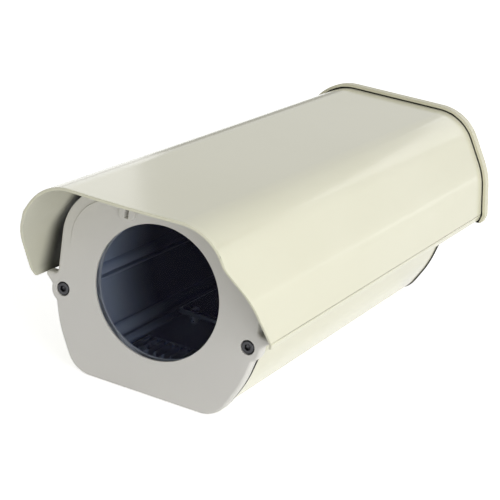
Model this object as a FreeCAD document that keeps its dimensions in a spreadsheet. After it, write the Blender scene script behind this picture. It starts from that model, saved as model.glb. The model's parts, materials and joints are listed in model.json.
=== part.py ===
import FreeCAD, Part
import os
import re
import Sketcher

# Outdoor housing for a security camera: an extruded body closed by a cast front cover with a round
# window and by a flat rear cover with three cable glands. An extruded sunshield hangs on the body's
# roof rails and ends in a rear cap. Inside, a tray with the camera's plate slides in floor rails.
# Millimetres. X is across, Y runs from the window to the rear, Z is up. The origin is the middle of
# the bracket holes, on the underside.

SIZES = {
    # Stations along the length
    "body_length": 322.0,
    "cover_depth": 8.0,
    "cover_face": 4.0,
    "front_seal": 1.0,
    "rear_seal": 2.5,
    "rear_plate": 4.0,
    "rear_plate_inset": 2.0,
    "seal_inset": 0.2,
    "seal_bulge": 0.8,
    # Section that body, covers and gaskets share
    "side_half": 72.3,
    "floor_in": 20.3,
    "flare_in": 5.3,
    "flare_middle": 27.0,
    "flare_top": 45.8,
    "roof_height": 126.2,
    "floor_round": 20.0,
    "flare_bow": 80.0,
    "flare_round": 10.0,
    "roof_round": 36.0,
    "body_wall": 3.0,
    "rim_wall": 4.0,
    "rim_gap": 0.5,
    "rim_thick": 2.0,
    "rim_depth": 3.0,
    "floor_gap": 25.0,
    "fit_gap": 0.3,
    "thread_gap": 0.05,
    "hole_gap": 0.2,
    "sink": 0.5,
    # Front cover
    "window_radius": 45.0,
    "window_margin": 2.4,
    "window_lip": 1.8,
    "edge_round": 1.8,
    "cover_over": 1.2,
    "screw_inset": 4.3,
    "screw_rise": 6.4,
    "recess_radius": 4.9,
    "recess_depth": 5.0,
    "screw_boss": 7.2,
    "ear_bulge": 9.0,
    "ear_out": 9.7,
    "ear_rise": 9.2,
    "ear_tip": 2.9,
    "ear_round": 2.0,
    "lug_across": 26.9,
    "lug_width": 12.0,
    "lug_drop": 15.6,
    "lug_end": 2.5,
    "lug_proud": 2.2,
    "lug_round": 4.0,
    "slot_width": 2.8,
    "slot_rise": 1.6,
    "slot_web": 1.0,
    "step_inset": 6.0,
    "step_rise": 46.2,
    "step_depth": 1.5,
    # Window glass and what holds it
    "glass_overlap": 4.0,
    "glass_thick": 4.0,
    "glass_seal": 0.5,
    "seal_margin": 0.4,
    "glass_gap": 0.4,
    "glass_wall": 3.2,
    "ring_thick": 2.0,
    "ring_lug": 4.2,
    "small_screw": 1.5,
    "small_head": 2.75,
    "small_head_height": 2.0,
    "small_socket": 2.0,
    "ring_screw_length": 5.0,
    # Cover screws
    "screw_radius": 2.5,
    "screw_head": 4.25,
    "screw_head_height": 4.7,
    "screw_length": 18.0,
    "socket_across": 4.0,
    "socket_depth": 2.5,
    # Screw ports inside the body
    "port_boss": 5.6,
    "port_slit": 2.4,
    "corner_port": 4.5,
    "port_sink": 1.0,
    "corner_screw": 2.0,
    "corner_head": 3.5,
    "corner_head_height": 4.0,
    "corner_socket": 3.0,
    "corner_length": 16.0,
    # Floor: tray rails and bracket holes
    "tray_inset": 9.0,
    "tray_lift": 0.4,
    "tray_thick": 2.0,
    "rail_web": 3.0,
    "rail_lip": 3.0,
    "rail_lip_thick": 2.0,
    "pad_width": 16.0,
    "pad_thick": 5.6,
    "bracket_across": 50.0,
    "bracket_along": 100.0,
    "bracket_hole": 2.5,
    "bracket_roof": 1.0,
    # Sunshield
    "shield_wall": 2.0,
    "shield_rise": 13.1,
    "shield_top_in": 14.4,
    "shoulder_in": 5.2,
    "shoulder_drop": 30.4,
    "fold_out": 15.9,
    "fold_drop": 63.1,
    "lip_drop": 5.0,
    "lip_inward": 1.4,
    "shield_round": 34.5,
    "shoulder_round": 55.0,
    "visor_reach": 57.6,
    "visor_bow": 500.0,
    "visor_corner_reach": 54.4,
    "visor_corner_drop": 8.2,
    "visor_fold_reach": 10.2,
    "visor_round": 20.0,
    "shield_behind": 52.0,
    # Rails that carry the shield
    "rail_half": 28.3,
    "rail_stem": 3.0,
    "rail_hook": 4.5,
    "rail_hook_thick": 2.8,
    "hanger_stem": 2.5,
    "hanger_gap": 1.0,
    "hanger_hook": 4.0,
    "hanger_hook_thick": 2.4,
    "hanger_room": 15.0,
    "lock_inset": 31.0,
    "lock_screw": 2.0,
    "fold_line": 0.5,
    # Rear cap of the shield
    "cap_gap": 0.5,
    "cap_depth": 8.5,
    "cap_proud": 3.4,
    "cap_wall": 2.5,
    "cap_foot_drop": 3.7,
    "cap_round": 2.0,
    "cap_lap": 5.0,
    "cap_slack": 0.7,
    "spigot_wall": 2.0,
    "cap_port_in": 9.9,
    "cap_port": 3.6,
    "cap_port_drop": 2.8,
    "cap_screw": 1.6,
    "cap_screw_length": 18.0,
    "cap_head_height": 2.5,
    "cap_socket": 2.4,
    # Cable glands
    "gland_height": 46.0,
    "gland_pitch": 36.0,
    "gland_thread": 8.0,
    "gland_collar": 9.0,
    "gland_across": 20.0,
    "gland_flange": 5.0,
    "gland_collar_length": 9.5,
    "gland_washer": 1.0,
    "gland_wall": 1.2,
    "bore_margin": 1.0,
    "seal_rise": 4.0,
    "locknut_thick": 5.0,
    "cable_radius": 4.0,
    "nut_across": 22.0,
    "nut_length": 20.0,
    "nut_mouth": 5.2,
    "nut_mouth_round": 3.0,
    "nut_dome": 6.0,
    "nut_lip": 2.0,
    "nut_chamfer": 0.2,
    "turn_gap": 0.08,
    # Camera tray
    "tray_gap": 12.0,
    "tray_length": 225.0,
    "tray_slot": 20.0,
    "tray_slot_length": 110.0,
    "tray_corner": 3.0,
    "earth_inset": 12.0,
    "earth_head": 4.0,
    "earth_length": 3.2,
    "plate_back": 39.0,
    "plate_inset": 4.0,
    "plate_length": 134.0,
    "post_height": 6.0,
    "plate_thick": 2.5,
    "plate_slot": 7.0,
    "plate_slot_length": 90.0,
    "post_radius": 4.0,
    "post_side": 11.0,
    "post_inset": 7.0,
    "plate_screw_length": 6.0,
    "pad_skin": 1.5,
    "pad_margin": 2.0,
    "camera_thread": 3.175,
    "camera_thread_length": 5.0,
    "camera_head": 8.0,
    "camera_head_height": 3.5,
    "camera_groove": 1.6,
    "camera_washer": 9.0,
    "camera_washer_thick": 1.0,
    # Heater
    "heater_front": 39.0,
    "heater_half": 35.0,
    "heater_depth": 22.0,
    "heater_base": 2.0,
    "heater_screw_in": 1.0,
    "head_gap": 0.4,
    "fin_height": 5.0,
    "fin_thick": 2.0,
    "fin_pitch": 6.0,
}

DERIVED = {
    "front_reach": "cover_depth + front_seal + body_length / 2",
    "lock_station": "body_length / 2 - lock_inset",
    "floor_half": "side_half - floor_in",
    "flare_half": "side_half - flare_in",
    "glass_radius": "window_radius + glass_overlap",
    "window_height": "roof_height - body_wall - window_margin - glass_wall - glass_radius",
    "ring_screws": "glass_radius + glass_wall + ring_lug",
    "screw_half": "side_half - screw_inset",
    "screw_height": "flare_top + screw_rise",
    "ear_reach": "side_half + ear_out",
    "ear_top": "screw_height + ear_rise",
    "lug_foot": "roof_height - lug_drop",
    "slot_foot": "lug_foot + slot_rise",
    "step_start": "roof_height - step_rise",
    "bracket_depth": "pad_thick - bracket_roof",
    "shield_top": "roof_height + shield_rise",
    "shield_top_half": "side_half - shield_top_in",
    "fold_half": "side_half + fold_out",
    "fold_height": "roof_height - fold_drop",
    "shoulder_half": "fold_half - shoulder_in",
    "shoulder_height": "roof_height - shoulder_drop",
    "visor_corner_height": "roof_height - visor_corner_drop",
    "shield_rear": "cover_depth + front_seal + body_length + shield_behind",
    "cap_foot": "fold_height - cap_foot_drop",
    "cap_port_half": "shield_top_half - cap_port_in",
    "tray_half": "floor_half - tray_inset",
    "tray_floor": "pad_thick + tray_lift",
    "tray_front": "heater_front + heater_depth + tray_gap",
    "plate_front": "tray_front + plate_back",
    "plate_half": "tray_half - plate_inset",
    "plate_height": "tray_floor + tray_thick + post_height",
    "post_half": "plate_half - post_side",
    "heater_screw_half": "bracket_across / 2 - heater_screw_in",
}

doc = FreeCAD.newDocument("camera_housing")
sheet = doc.addObject("Spreadsheet::Sheet", "Sizes")
for row, (alias, number) in enumerate(SIZES.items(), 1):
    sheet.set(f"A{row}", alias)
    sheet.set(f"B{row}", str(number))
    sheet.setAlias(f"B{row}", alias)
doc.recompute()
for row, (alias, rule) in enumerate(DERIVED.items(), len(SIZES) + 2):
    sheet.set(f"A{row}", alias)
    sheet.set(f"B{row}", f"={rule}")
    sheet.setAlias(f"B{row}", alias)
    doc.recompute()
NAMES = SIZES.keys() | DERIVED.keys()

UPRIGHT = FreeCAD.Rotation(FreeCAD.Vector(1, 0, 0), 90)
SIDEWAYS = FreeCAD.Rotation(FreeCAD.Vector(1, 1, 1), 120)
REARWARD = FreeCAD.Rotation(FreeCAD.Vector(1, 0, 0), -90)
FORWARD = FreeCAD.Rotation(FreeCAD.Vector(1, 0, 0), 90)
INWARD = FreeCAD.Rotation(FreeCAD.Vector(0, 1, 0), -90)
OUTWARD = FreeCAD.Rotation(FreeCAD.Vector(0, 1, 0), 90)
DOWNWARD = FreeCAD.Rotation(FreeCAD.Vector(1, 0, 0), 180)
LEVEL = FreeCAD.Rotation()

# Stations along Y, as formulas on the sheet
FACE = "-front_reach"
BODY_FRONT = "cover_depth + front_seal - front_reach"
BODY_REAR = f"{BODY_FRONT} + body_length"
REAR_PLATE = f"{BODY_REAR} + rear_seal"
GLASS_FRONT = "window_lip + glass_seal - front_reach"
GLASS_REAR = f"{GLASS_FRONT} + glass_thick"
SHIELD_REAR = "shield_rear - front_reach"
CAP_FRONT = f"{SHIELD_REAR} + cap_gap - cap_lap"
SHIELD_UNDER = "shield_top - shield_wall"
LOCK_HEIGHT = f"{SHIELD_UNDER} - rail_hook_thick / 2"
PLATE_TOP = "plate_height + plate_thick"
TRAY_TOP = "tray_floor + tray_thick"
FLARE = "((flare_half - floor_half) / flare_middle)"


def formula(text):
    """Point each size's name at the sheet."""
    return re.sub(r"[a-z]\w+", lambda word: f"Sizes.{word[0]}" if word[0] in NAMES else word[0], text)


def value(text):
    """Number that a formula gives now."""
    return float(sheet.evalExpression(formula(text)))


def bind(thing, **formulas):
    """Tie properties to formulas; a double underscore stands for a dot."""
    for name, text in formulas.items():
        thing.setExpression(name.replace("__", "."), formula(text))
    return thing


def hold(sketch, name, constraint, text):
    """Add one named dimension and tie it to its formula."""
    sketch.renameConstraint(sketch.addConstraint(constraint), name)
    sketch.setExpression(f"Constraints.{name}", formula(text))


def draw(sketch, corners, rounds=None, closed=True):
    """Draw a line through the corners, place each by formula and round the ones asked for."""
    points = [FreeCAD.Vector(value(across), value(up), 0) for across, up in corners]
    count = len(points)
    edges = count if closed else count - 1
    for index in range(edges):
        sketch.addGeometry(Part.LineSegment(points[index], points[(index + 1) % count]))
    for index in range(edges if closed else edges - 1):
        sketch.addConstraint(Sketcher.Constraint("Coincident", index, 2, (index + 1) % edges, 1))
    for index, (across, up) in enumerate(corners):
        edge, end = (index, 1) if index < edges else (index - 1, 2)
        point = points[index]
        hold(sketch, f"across_{index}", Sketcher.Constraint("DistanceX", -1, 1, edge, end, point.x), across)
        hold(sketch, f"up_{index}", Sketcher.Constraint("DistanceY", -1, 1, edge, end, point.y), up)
    for index, radius in (rounds or {}).items():
        arc = sketch.GeometryCount
        sketch.fillet(index, 1, value(radius), True, True)
        hold(sketch, f"round_{index}", Sketcher.Constraint("Radius", arc, value(radius)), radius)


def ring(sketch, radius, across="0", up="0"):
    """Add a circle held by its centre and radius."""
    centre = FreeCAD.Vector(value(across), value(up), 0)
    index = sketch.addGeometry(Part.Circle(centre, FreeCAD.Vector(0, 0, 1), value(radius)))
    hold(sketch, f"ring_{index}", Sketcher.Constraint("Radius", index, value(radius)), radius)
    hold(sketch, f"ring_{index}_x", Sketcher.Constraint("DistanceX", -1, 1, index, 3, centre.x), across)
    hold(sketch, f"ring_{index}_y", Sketcher.Constraint("DistanceY", -1, 1, index, 3, centre.y), up)


def profile(name, corners, rounds=None, closed=True, turn=UPRIGHT):
    """Stand-alone outline, upright in the XZ plane unless turned otherwise."""
    sketch = doc.addObject("Sketcher::SketchObject", name)
    sketch.Placement.Rotation = turn
    draw(sketch, corners, rounds, closed)
    return sketch


def both_sides(right):
    """Corners of the right half, bottom to top, followed by their mirror images."""
    left = [(f"-({across})", up) for across, up in reversed(right)]
    return right + left


def both_rounds(count, rounds):
    """Radii of the right half's corners, repeated on the mirror images."""
    return rounds | {2 * count - 1 - index: radius for index, radius in rounds.items()}


def inset(name, outline, distance, fill=False):
    """Copy of an outline moved inwards by a distance."""
    moved = doc.addObject("Part::Offset2D", name)
    moved.Source = outline
    moved.Join = "Arc"
    moved.Fill = fill
    return bind(moved, Value=f"-({distance})")


def slab(name, outline, start, length, way=(0, 1, 0)):
    """Prism of an outline, along Y from a station unless another way is given."""
    prism = doc.addObject("Part::Extrusion", name)
    prism.Base = outline
    prism.DirMode = "Custom"
    prism.Dir = FreeCAD.Vector(*way)
    prism.Solid = True
    axis = "xyz"[way.index(1)]
    return bind(prism, LengthFwd=length, **{f"Placement__Base__{axis}": start})


def block(name, low, size):
    """Box from its low corner and its three sizes."""
    box = doc.addObject("Part::Box", name)
    return bind(
        box,
        Length=size[0],
        Width=size[1],
        Height=size[2],
        Placement__Base__x=low[0],
        Placement__Base__y=low[1],
        Placement__Base__z=low[2],
    )


def rod(name, radius, length, at, turn=REARWARD):
    """Cylinder from a point, along Y unless turned otherwise."""
    cylinder = doc.addObject("Part::Cylinder", name)
    cylinder.Placement.Rotation = turn
    return bind(
        cylinder,
        Radius=radius,
        Height=length,
        Placement__Base__x=at[0],
        Placement__Base__y=at[1],
        Placement__Base__z=at[2],
    )


def cut(name, base, *tools):
    """Base less every tool."""
    left = doc.addObject("Part::Cut", name)
    left.Base = base
    left.Tool = tools[0] if len(tools) == 1 else fuse(f"{name}_tools", *tools)
    return left


def fuse(name, *shapes):
    """All shapes made one."""
    whole = doc.addObject("Part::MultiFuse", name)
    whole.Shapes = list(shapes)
    return whole


def common(name, *shapes):
    """What all shapes share."""
    shared = doc.addObject("Part::MultiCommon", name)
    shared.Shapes = list(shapes)
    return shared


def group(name, *shapes):
    """Separate solids kept under one name."""
    collected = doc.addObject("Part::Compound", name)
    collected.Links = list(shapes)
    return collected


def mirror(name, source, normal=(1, 0, 0), height="0"):
    """Mirror image, across the middle plane unless told otherwise."""
    image = doc.addObject("Part::Mirroring", name)
    image.Source = source
    image.Normal = FreeCAD.Vector(*normal)
    return bind(image, Base__z=height)


def pair(name, source):
    """A piece and its mirror image."""
    return group(name, source, mirror(f"{name}_left", source))


def rounded(name, base, radius, chosen):
    """Round the edges that a test picks."""
    doc.recompute()
    picked = doc.addObject("Part::Fillet", name)
    picked.Base = base
    size = value(radius)
    picked.Edges = [(i, size, size) for i, edge in enumerate(base.Shape.Edges, 1) if chosen(edge)]
    return picked


def at_station(text):
    """Test for edges that lie in one plane across Y."""
    station = value(text)

    def lies_there(edge):
        """Whether both ends of the edge's box are at the station."""
        box = edge.BoundBox
        return abs(box.YMin - station) < 1e-3 and abs(box.YMax - station) < 1e-3

    return lies_there


def origin_plane(body, role):
    """Base plane of a body, found by its role."""
    return next(plane for plane in body.Origin.OriginFeatures if plane.Role == role)


def new_body(name, turn=None, **places):
    """Empty body, turned and placed."""
    body = doc.addObject("PartDesign::Body", name)
    if turn:
        body.Placement.Rotation = turn
    return bind(body, **{f"Placement__Base__{axis}": text for axis, text in places.items()})


def body_sketch(body, name, role, lift="0"):
    """Empty sketch on one of the body's own planes, lifted along its normal."""
    sketch = body.newObject("Sketcher::SketchObject", name)
    sketch.AttachmentSupport = (origin_plane(body, role), [""])
    sketch.MapMode = "FlatFace"
    return bind(sketch, AttachmentOffset__Base__z=lift)


def pad(body, sketch, length):
    """Raise a sketch by a length."""
    raised = body.newObject("PartDesign::Pad", f"{sketch.Name}_pad")
    raised.Profile = sketch
    return bind(raised, Length=length)


def pocket(body, sketch, depth):
    """Sink a sketch into the body, against the sketch's normal."""
    sunk = body.newObject("PartDesign::Pocket", f"{sketch.Name}_pocket")
    sunk.Profile = sketch
    return bind(sunk, Length=depth)


def turned(body, name, corners, rounds=None):
    """Revolve an outline of radii and heights about the body's Z axis."""
    sketch = body_sketch(body, name, "XZ_Plane")
    draw(sketch, corners, rounds)
    lathe = body.newObject("PartDesign::Revolution", f"{name}_turned")
    lathe.Profile = sketch
    lathe.ReferenceAxis = (sketch, ["V_Axis"])
    lathe.Angle = 360
    return lathe


def hexagon(sketch, across):
    """Regular hexagon, by its width across flats."""
    corner = f"({across}) / (2 * cos(30))"
    turns = range(0, 360, 60)
    draw(sketch, [(f"{corner} * cos({turn})", f"{corner} * sin({turn})") for turn in turns])


def socket_screw(name, sizes, turn, **places):
    """Socket head screw: head below its origin plane, shank along its Z axis."""
    radius, length, head, head_height, across, depth = sizes
    body = new_body(name, turn, **places)
    corners = [
        ("0", f"-({head_height})"),
        (head, f"-({head_height})"),
        (head, "0"),
        (radius, "0"),
        (radius, length),
        ("0", length),
    ]
    turned(body, f"{name}_outline", corners, {1: f"({head}) * 0.12"})
    key = body_sketch(body, f"{name}_key", "XY_Plane", f"{depth} - ({head_height})")
    hexagon(key, across)
    pocket(body, key, f"2 * ({depth})")
    return body


def housing_section():
    """Outline that body and gaskets share: flat floor, bowed flares, rounded roof."""
    right = [
        ("floor_half", "0"),
        ("flare_half", "flare_middle"),
        ("side_half", "flare_top"),
        ("side_half", "roof_height"),
    ]
    rounds = {0: "floor_round", 1: "flare_bow", 2: "flare_round", 3: "roof_round"}
    return profile("housing_section", both_sides(right), both_rounds(4, rounds))


def cover_section():
    """The same outline, a little larger, with a bulge and an ear beside each cover screw."""
    right = [
        ("floor_half + cover_over", "-cover_over"),
        ("flare_half + cover_over", "flare_middle"),
        ("side_half", "screw_height - ear_bulge"),
        ("screw_half + ear_bulge", "screw_height - ear_bulge * 0.6"),
        ("screw_half + ear_bulge", "screw_height + ear_round * 0.7"),
        ("ear_reach", "ear_top - ear_tip"),
        ("ear_reach", "ear_top"),
        ("side_half + cover_over", "ear_top"),
        ("side_half + cover_over", "roof_height + cover_over"),
    ]
    rounds = {
        0: "floor_round",
        1: "flare_bow",
        2: "ear_round",
        3: "ear_bulge",
        4: "ear_round * 0.6",
        5: "ear_round * 0.6",
        6: "ear_round * 0.8",
        7: "ear_round * 1.5",
        8: "roof_round + cover_over",
    }
    return profile("cover_section", both_sides(right), both_rounds(9, rounds))


def side_rods(name, radius, start, length):
    """Rods along Y at both cover screws."""
    right = rod(f"{name}_right", radius, length, ("screw_half", start, "screw_height"))
    left = rod(f"{name}_left", radius, length, ("-screw_half", start, "screw_height"))
    return fuse(name, right, left)


# The four corner ports stand on the centre of the corner they are in
CORNER_PORTS = {
    "roof": (
        "side_half - roof_round + (roof_round - body_wall - corner_port + port_sink) * cos(45)",
        "roof_height - roof_round + (roof_round - body_wall - corner_port + port_sink) * sin(45)",
    ),
    "floor": (
        "floor_half - floor_tangent + (floor_round - body_wall - corner_port + port_sink) * cos(30)",
        "floor_round - (floor_round - body_wall - corner_port + port_sink) * sin(30)",
    ),
}
FLOOR_TANGENT = f"floor_round * (sqrt(1 + {FLARE} ^ 2) - {FLARE})"


def corner_place(corner):
    """Place across and up of a corner port."""
    across, up = CORNER_PORTS[corner]
    return across.replace("floor_tangent", f"({FLOOR_TANGENT})"), up


def corner_rods(name, radius, start, length):
    """Rods along Y at the four corner ports."""
    rods = []
    for corner in CORNER_PORTS:
        across, up = corner_place(corner)
        rods.append(rod(f"{name}_{corner}_right", radius, length, (across, start, up)))
        rods.append(rod(f"{name}_{corner}_left", radius, length, (f"-({across})", start, up)))
    return fuse(name, *rods)


def roof_rail():
    """Upright rail with an outward hook on the roof's right side."""
    stem = block(
        "rail_stem_block",
        ("rail_half - rail_stem / 2", BODY_FRONT, "roof_height - body_wall / 2"),
        ("rail_stem", "body_length", f"{SHIELD_UNDER} - roof_height + body_wall / 2"),
    )
    hook = block(
        "rail_hook_block",
        ("rail_half", BODY_FRONT, f"{SHIELD_UNDER} - rail_hook_thick"),
        ("rail_stem / 2 + rail_hook", "body_length", "rail_hook_thick"),
    )
    return fuse("roof_rail", stem, hook)


def tray_rail():
    """Grooved floor rail on the right: a ledge below the tray, a web beside it, a lip above it."""
    web_face = "tray_half + fit_gap"
    web = block(
        "tray_rail_web",
        (web_face, BODY_FRONT, "sink"),
        ("rail_web", "body_length", f"{TRAY_TOP} + fit_gap + rail_lip_thick - sink"),
    )
    ledge = block(
        "tray_rail_ledge",
        (f"{web_face} - rail_lip", BODY_FRONT, "sink"),
        ("rail_lip + sink", "body_length", "tray_floor - sink"),
    )
    lip = block(
        "tray_rail_lip",
        (f"{web_face} - rail_lip", BODY_FRONT, f"{TRAY_TOP} + fit_gap"),
        ("rail_lip + sink", "body_length", "rail_lip_thick"),
    )
    return fuse("tray_rail", web, ledge, lip)


def bracket_pad():
    """Thick strip of floor over the right-hand bracket holes."""
    low = ("bracket_across / 2 - pad_width / 2", BODY_FRONT, "sink")
    return block("bracket_pad", low, ("pad_width", "body_length", "pad_thick - sink"))


def body_shell(section):
    """Extruded body: skin, screw ports, tray rails, bracket pads and roof rails."""
    outside = slab("body_outside", section, BODY_FRONT, "body_length")
    inside = inset("body_inside", section, "body_wall")
    skin = cut("body_skin", outside, slab("body_hollow", inside, BODY_FRONT, "body_length"))
    rail, strip = tray_rail(), bracket_pad()
    ports = fuse(
        "body_ports",
        side_rods("side_ports", "port_boss", BODY_FRONT, "body_length"),
        corner_rods("corner_ports", "corner_port", BODY_FRONT, "body_length"),
        rail,
        mirror("tray_rail_left", rail),
        strip,
        mirror("bracket_pad_left", strip),
    )
    ribs = common("body_ribs", ports, outside)
    rail = roof_rail()
    solid = fuse("body_solid", skin, ribs, rail, mirror("roof_rail_left", rail))
    slit = block(
        "port_slit_right",
        ("screw_half - port_boss - port_sink", BODY_FRONT, "screw_height - port_slit / 2"),
        ("port_boss + port_sink", "body_length", "port_slit"),
    )
    holes = [
        side_rods("side_port_bores", "screw_radius + thread_gap", BODY_FRONT, "body_length"),
        corner_rods("corner_port_bores", "corner_screw + thread_gap", BODY_FRONT, "body_length"),
        slit,
        mirror("port_slit_left", slit),
    ]
    holes += heater_rods("heater_port", "small_screw + thread_gap", "bracket_roof", "pad_thick")
    return cut("body_shell", solid, *holes, *bracket_holes())


def bracket_holes():
    """Four blind tapped holes in the underside."""
    holes = []
    for side, across in (("right", "bracket_across / 2"), ("left", "-bracket_across / 2")):
        for end, along in (("rear", "bracket_along / 2"), ("front", "-bracket_along / 2")):
            name = f"bracket_hole_{side}_{end}"
            holes.append(rod(name, "bracket_hole", "bracket_depth", (across, along, "0"), LEVEL))
    return holes


def front_cover(section, ears):
    """Cast cover: rounded face, hollow back, window seat, screw recesses, lug and upper step."""
    blank = slab("cover_blank", ears, FACE, "cover_depth")
    eased = rounded("cover_eased", blank, "edge_round", at_station(FACE))
    back, seat_face = f"{FACE} + cover_face", f"{FACE} + window_lip"
    inside = inset("cover_inside", section, "rim_wall")
    shell = cut("cover_shell", eased, slab("cover_hollow", inside, back, "cover_depth - cover_face"))
    root = f"{FACE} + cover_face / 2"
    seat_depth = f"{GLASS_REAR} - ({root})"
    seat = rod(
        "glass_wall_rod",
        "glass_radius + glass_gap + glass_wall",
        seat_depth,
        ("0", root, "window_height"),
    )
    rods = fuse(
        "cover_boss_rods",
        side_rods("cover_side_bosses", "screw_boss", root, "cover_depth - cover_face / 2"),
        seat,
        *ring_screw_rods("cover_ring_bosses", "ring_lug", root, seat_depth),
    )
    bosses = common("cover_bosses", rods, slab("cover_bound", section, FACE, "2 * cover_depth"))
    solid = fuse("cover_solid", shell, bosses, cover_lug())
    slot = block(
        "lug_slot",
        ("-lug_across - slot_width / 2", f"{FACE} - lug_proud", "slot_foot"),
        ("slot_width", "lug_proud + cover_face - slot_web", "roof_height - lug_end - slot_foot"),
    )
    holes = [
        rod("window_hole", "window_radius", "cover_face + 2", ("0", f"{FACE} - 1", "window_height")),
        rod("glass_seat", "glass_radius + glass_gap", "cover_depth", ("0", seat_face, "window_height")),
        side_rods("screw_recesses", "recess_radius", f"{FACE} - 1", "recess_depth + 1"),
        side_rods("screw_passages", "screw_radius + fit_gap", FACE, "cover_depth"),
        *ring_screw_rods("ring_screw_holes", "small_screw + thread_gap", seat_face, "cover_depth"),
        slot,
        upper_step(section),
    ]
    return cut("front_cover", solid, *holes)


def ring_screw_rods(name, radius, start, length):
    """Four rods along Y at the diagonals of the window."""
    rods = []
    for turn in (45, 135, 225, 315):
        across = f"ring_screws * cos({turn})"
        up = f"window_height + ring_screws * sin({turn})"
        rods.append(rod(f"{name}_{turn}", radius, length, (across, start, up)))
    return rods


def cover_lug():
    """Slotted lug on the face, above and beside the window."""
    corners = [
        ("-lug_across - lug_width / 2", "lug_foot"),
        ("-lug_across + lug_width / 2", "lug_foot"),
        ("-lug_across + lug_width / 2", "roof_height - lug_end"),
        ("-lug_across - lug_width / 2", "roof_height - lug_end"),
    ]
    outline = profile("lug_outline", corners, {0: "lug_round", 1: "lug_round"})
    blank = slab("lug_blank", outline, f"{FACE} - lug_proud", "lug_proud + cover_face / 2")
    return rounded("cover_lug", blank, "lug_proud * 0.4", at_station(f"{FACE} - lug_proud"))


def upper_step(section):
    """Band round the upper corners that leans back towards the roof."""
    ahead, top = f"{FACE} - 2 * step_depth", "roof_height + cover_over"
    corners = [
        (ahead, "step_start"),
        (FACE, "step_start"),
        (f"{FACE} + step_depth", top),
        (ahead, top),
    ]
    lean = profile("step_lean", corners, turn=SIDEWAYS)
    wedge = slab("step_wedge", lean, "-ear_reach", "2 * ear_reach", (1, 0, 0))
    outside = inset("step_outer_line", section, "-cover_over")
    inside = inset("step_inner_line", section, "step_inset")
    outer = slab("step_outer", outside, ahead, "3 * step_depth")
    inner = slab("step_inner", inside, f"{FACE} - 3 * step_depth", "5 * step_depth")
    return common("upper_step", wedge, cut("step_band", outer, inner))


def gasket(name, section, start, thick, bulge):
    """Flat gasket under the whole rim, with an eyelet round each side screw."""
    outer_line = inset(f"{name}_outer_line", section, f"-({bulge})")
    inner_line = inset(f"{name}_line", section, "body_wall + seal_inset")
    outside = slab(f"{name}_outside", outer_line, start, thick)
    inside = slab(f"{name}_inside", inner_line, start, thick)
    eyes = side_rods(f"{name}_eyes", "port_boss", start, thick)
    eyelets = common(f"{name}_eyelets", eyes, outside)
    solid = fuse(f"{name}_solid", cut(f"{name}_ring", outside, inside), eyelets)
    return cut(name, solid, side_rods(f"{name}_holes", "screw_radius + fit_gap", start, thick))


def window_seal():
    """Flat ring between the cover's face and the glass."""
    body = new_body("window_seal", REARWARD, y=f"{FACE} + window_lip", z="window_height")
    sketch = body_sketch(body, "window_seal_rings", "XY_Plane")
    ring(sketch, "glass_radius")
    ring(sketch, "window_radius + seal_margin")
    pad(body, sketch, "glass_seal")
    return body


def window_glass():
    """Round pane with ground edges."""
    body = new_body("window_glass", REARWARD, y=GLASS_FRONT, z="window_height")
    ground = "glass_thick * 0.15"
    corners = [
        ("0", "0"),
        (f"glass_radius - {ground}", "0"),
        ("glass_radius", ground),
        ("glass_radius", f"glass_thick - {ground}"),
        (f"glass_radius - {ground}", "glass_thick"),
        ("0", "glass_thick"),
    ]
    turned(body, "window_glass_outline", corners)
    return body


def window_ring():
    """Retaining ring behind the glass, with four screw lugs."""
    body = new_body("window_ring", REARWARD, y=GLASS_REAR, z="window_height")
    sketch = body_sketch(body, "window_ring_rings", "XY_Plane")
    ring(sketch, "glass_radius + glass_wall")
    ring(sketch, "window_radius + seal_margin")
    pad(body, sketch, "ring_thick")
    lug = body_sketch(body, "window_ring_lug", "XY_Plane")
    ring(lug, "ring_lug", "ring_screws * cos(45)", "ring_screws * sin(45)")
    arm = pad(body, lug, "ring_thick")
    neck = body_sketch(body, "window_ring_neck", "XY_Plane")
    inner, outer, half = "glass_radius * cos(45)", "ring_screws * cos(45)", "ring_lug * cos(45)"
    corners = [
        (f"{inner} + {half}", f"{inner} - {half}"),
        (f"{outer} + {half}", f"{outer} - {half}"),
        (f"{outer} - {half}", f"{outer} + {half}"),
        (f"{inner} - {half}", f"{inner} + {half}"),
    ]
    draw(neck, corners)
    web = pad(body, neck, "ring_thick")
    hole = body_sketch(body, "window_ring_hole", "XY_Plane", "ring_thick")
    ring(hole, "small_screw + hole_gap", "ring_screws * cos(45)", "ring_screws * sin(45)")
    drilled = pocket(body, hole, "ring_thick + 1")
    turns = body.newObject("PartDesign::PolarPattern", "window_ring_turns")
    turns.Originals = [arm, web, drilled]
    turns.Axis = (sketch, ["N_Axis"])
    turns.Angle = 360
    turns.Occurrences = 4
    body.Tip = turns
    return body


def window_ring_screws():
    """Four small screws through the ring's lugs."""
    sizes = (
        "small_screw",
        "ring_screw_length",
        "small_head",
        "small_head_height",
        "small_socket",
        "small_head_height / 2",
    )
    place = {"x": "ring_screws * cos(45)", "z": "window_height + ring_screws * sin(45)"}
    screw = socket_screw("ring_screw", sizes, FORWARD, y=f"{GLASS_REAR} + ring_thick", **place)
    top = pair("ring_screws_top", screw)
    return group("window_ring_screws", top, mirror("ring_screws_low", top, (0, 0, 1), "window_height"))


def front_cover_screws():
    """Two socket head screws from the recesses into the side ports."""
    sizes = (
        "screw_radius",
        "screw_length",
        "screw_head",
        "screw_head_height",
        "socket_across",
        "socket_depth",
    )
    place = {"x": "screw_half", "z": "screw_height"}
    screw = socket_screw("cover_screw", sizes, REARWARD, y=f"{FACE} + recess_depth", **place)
    return pair("front_cover_screws", screw)


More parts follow.
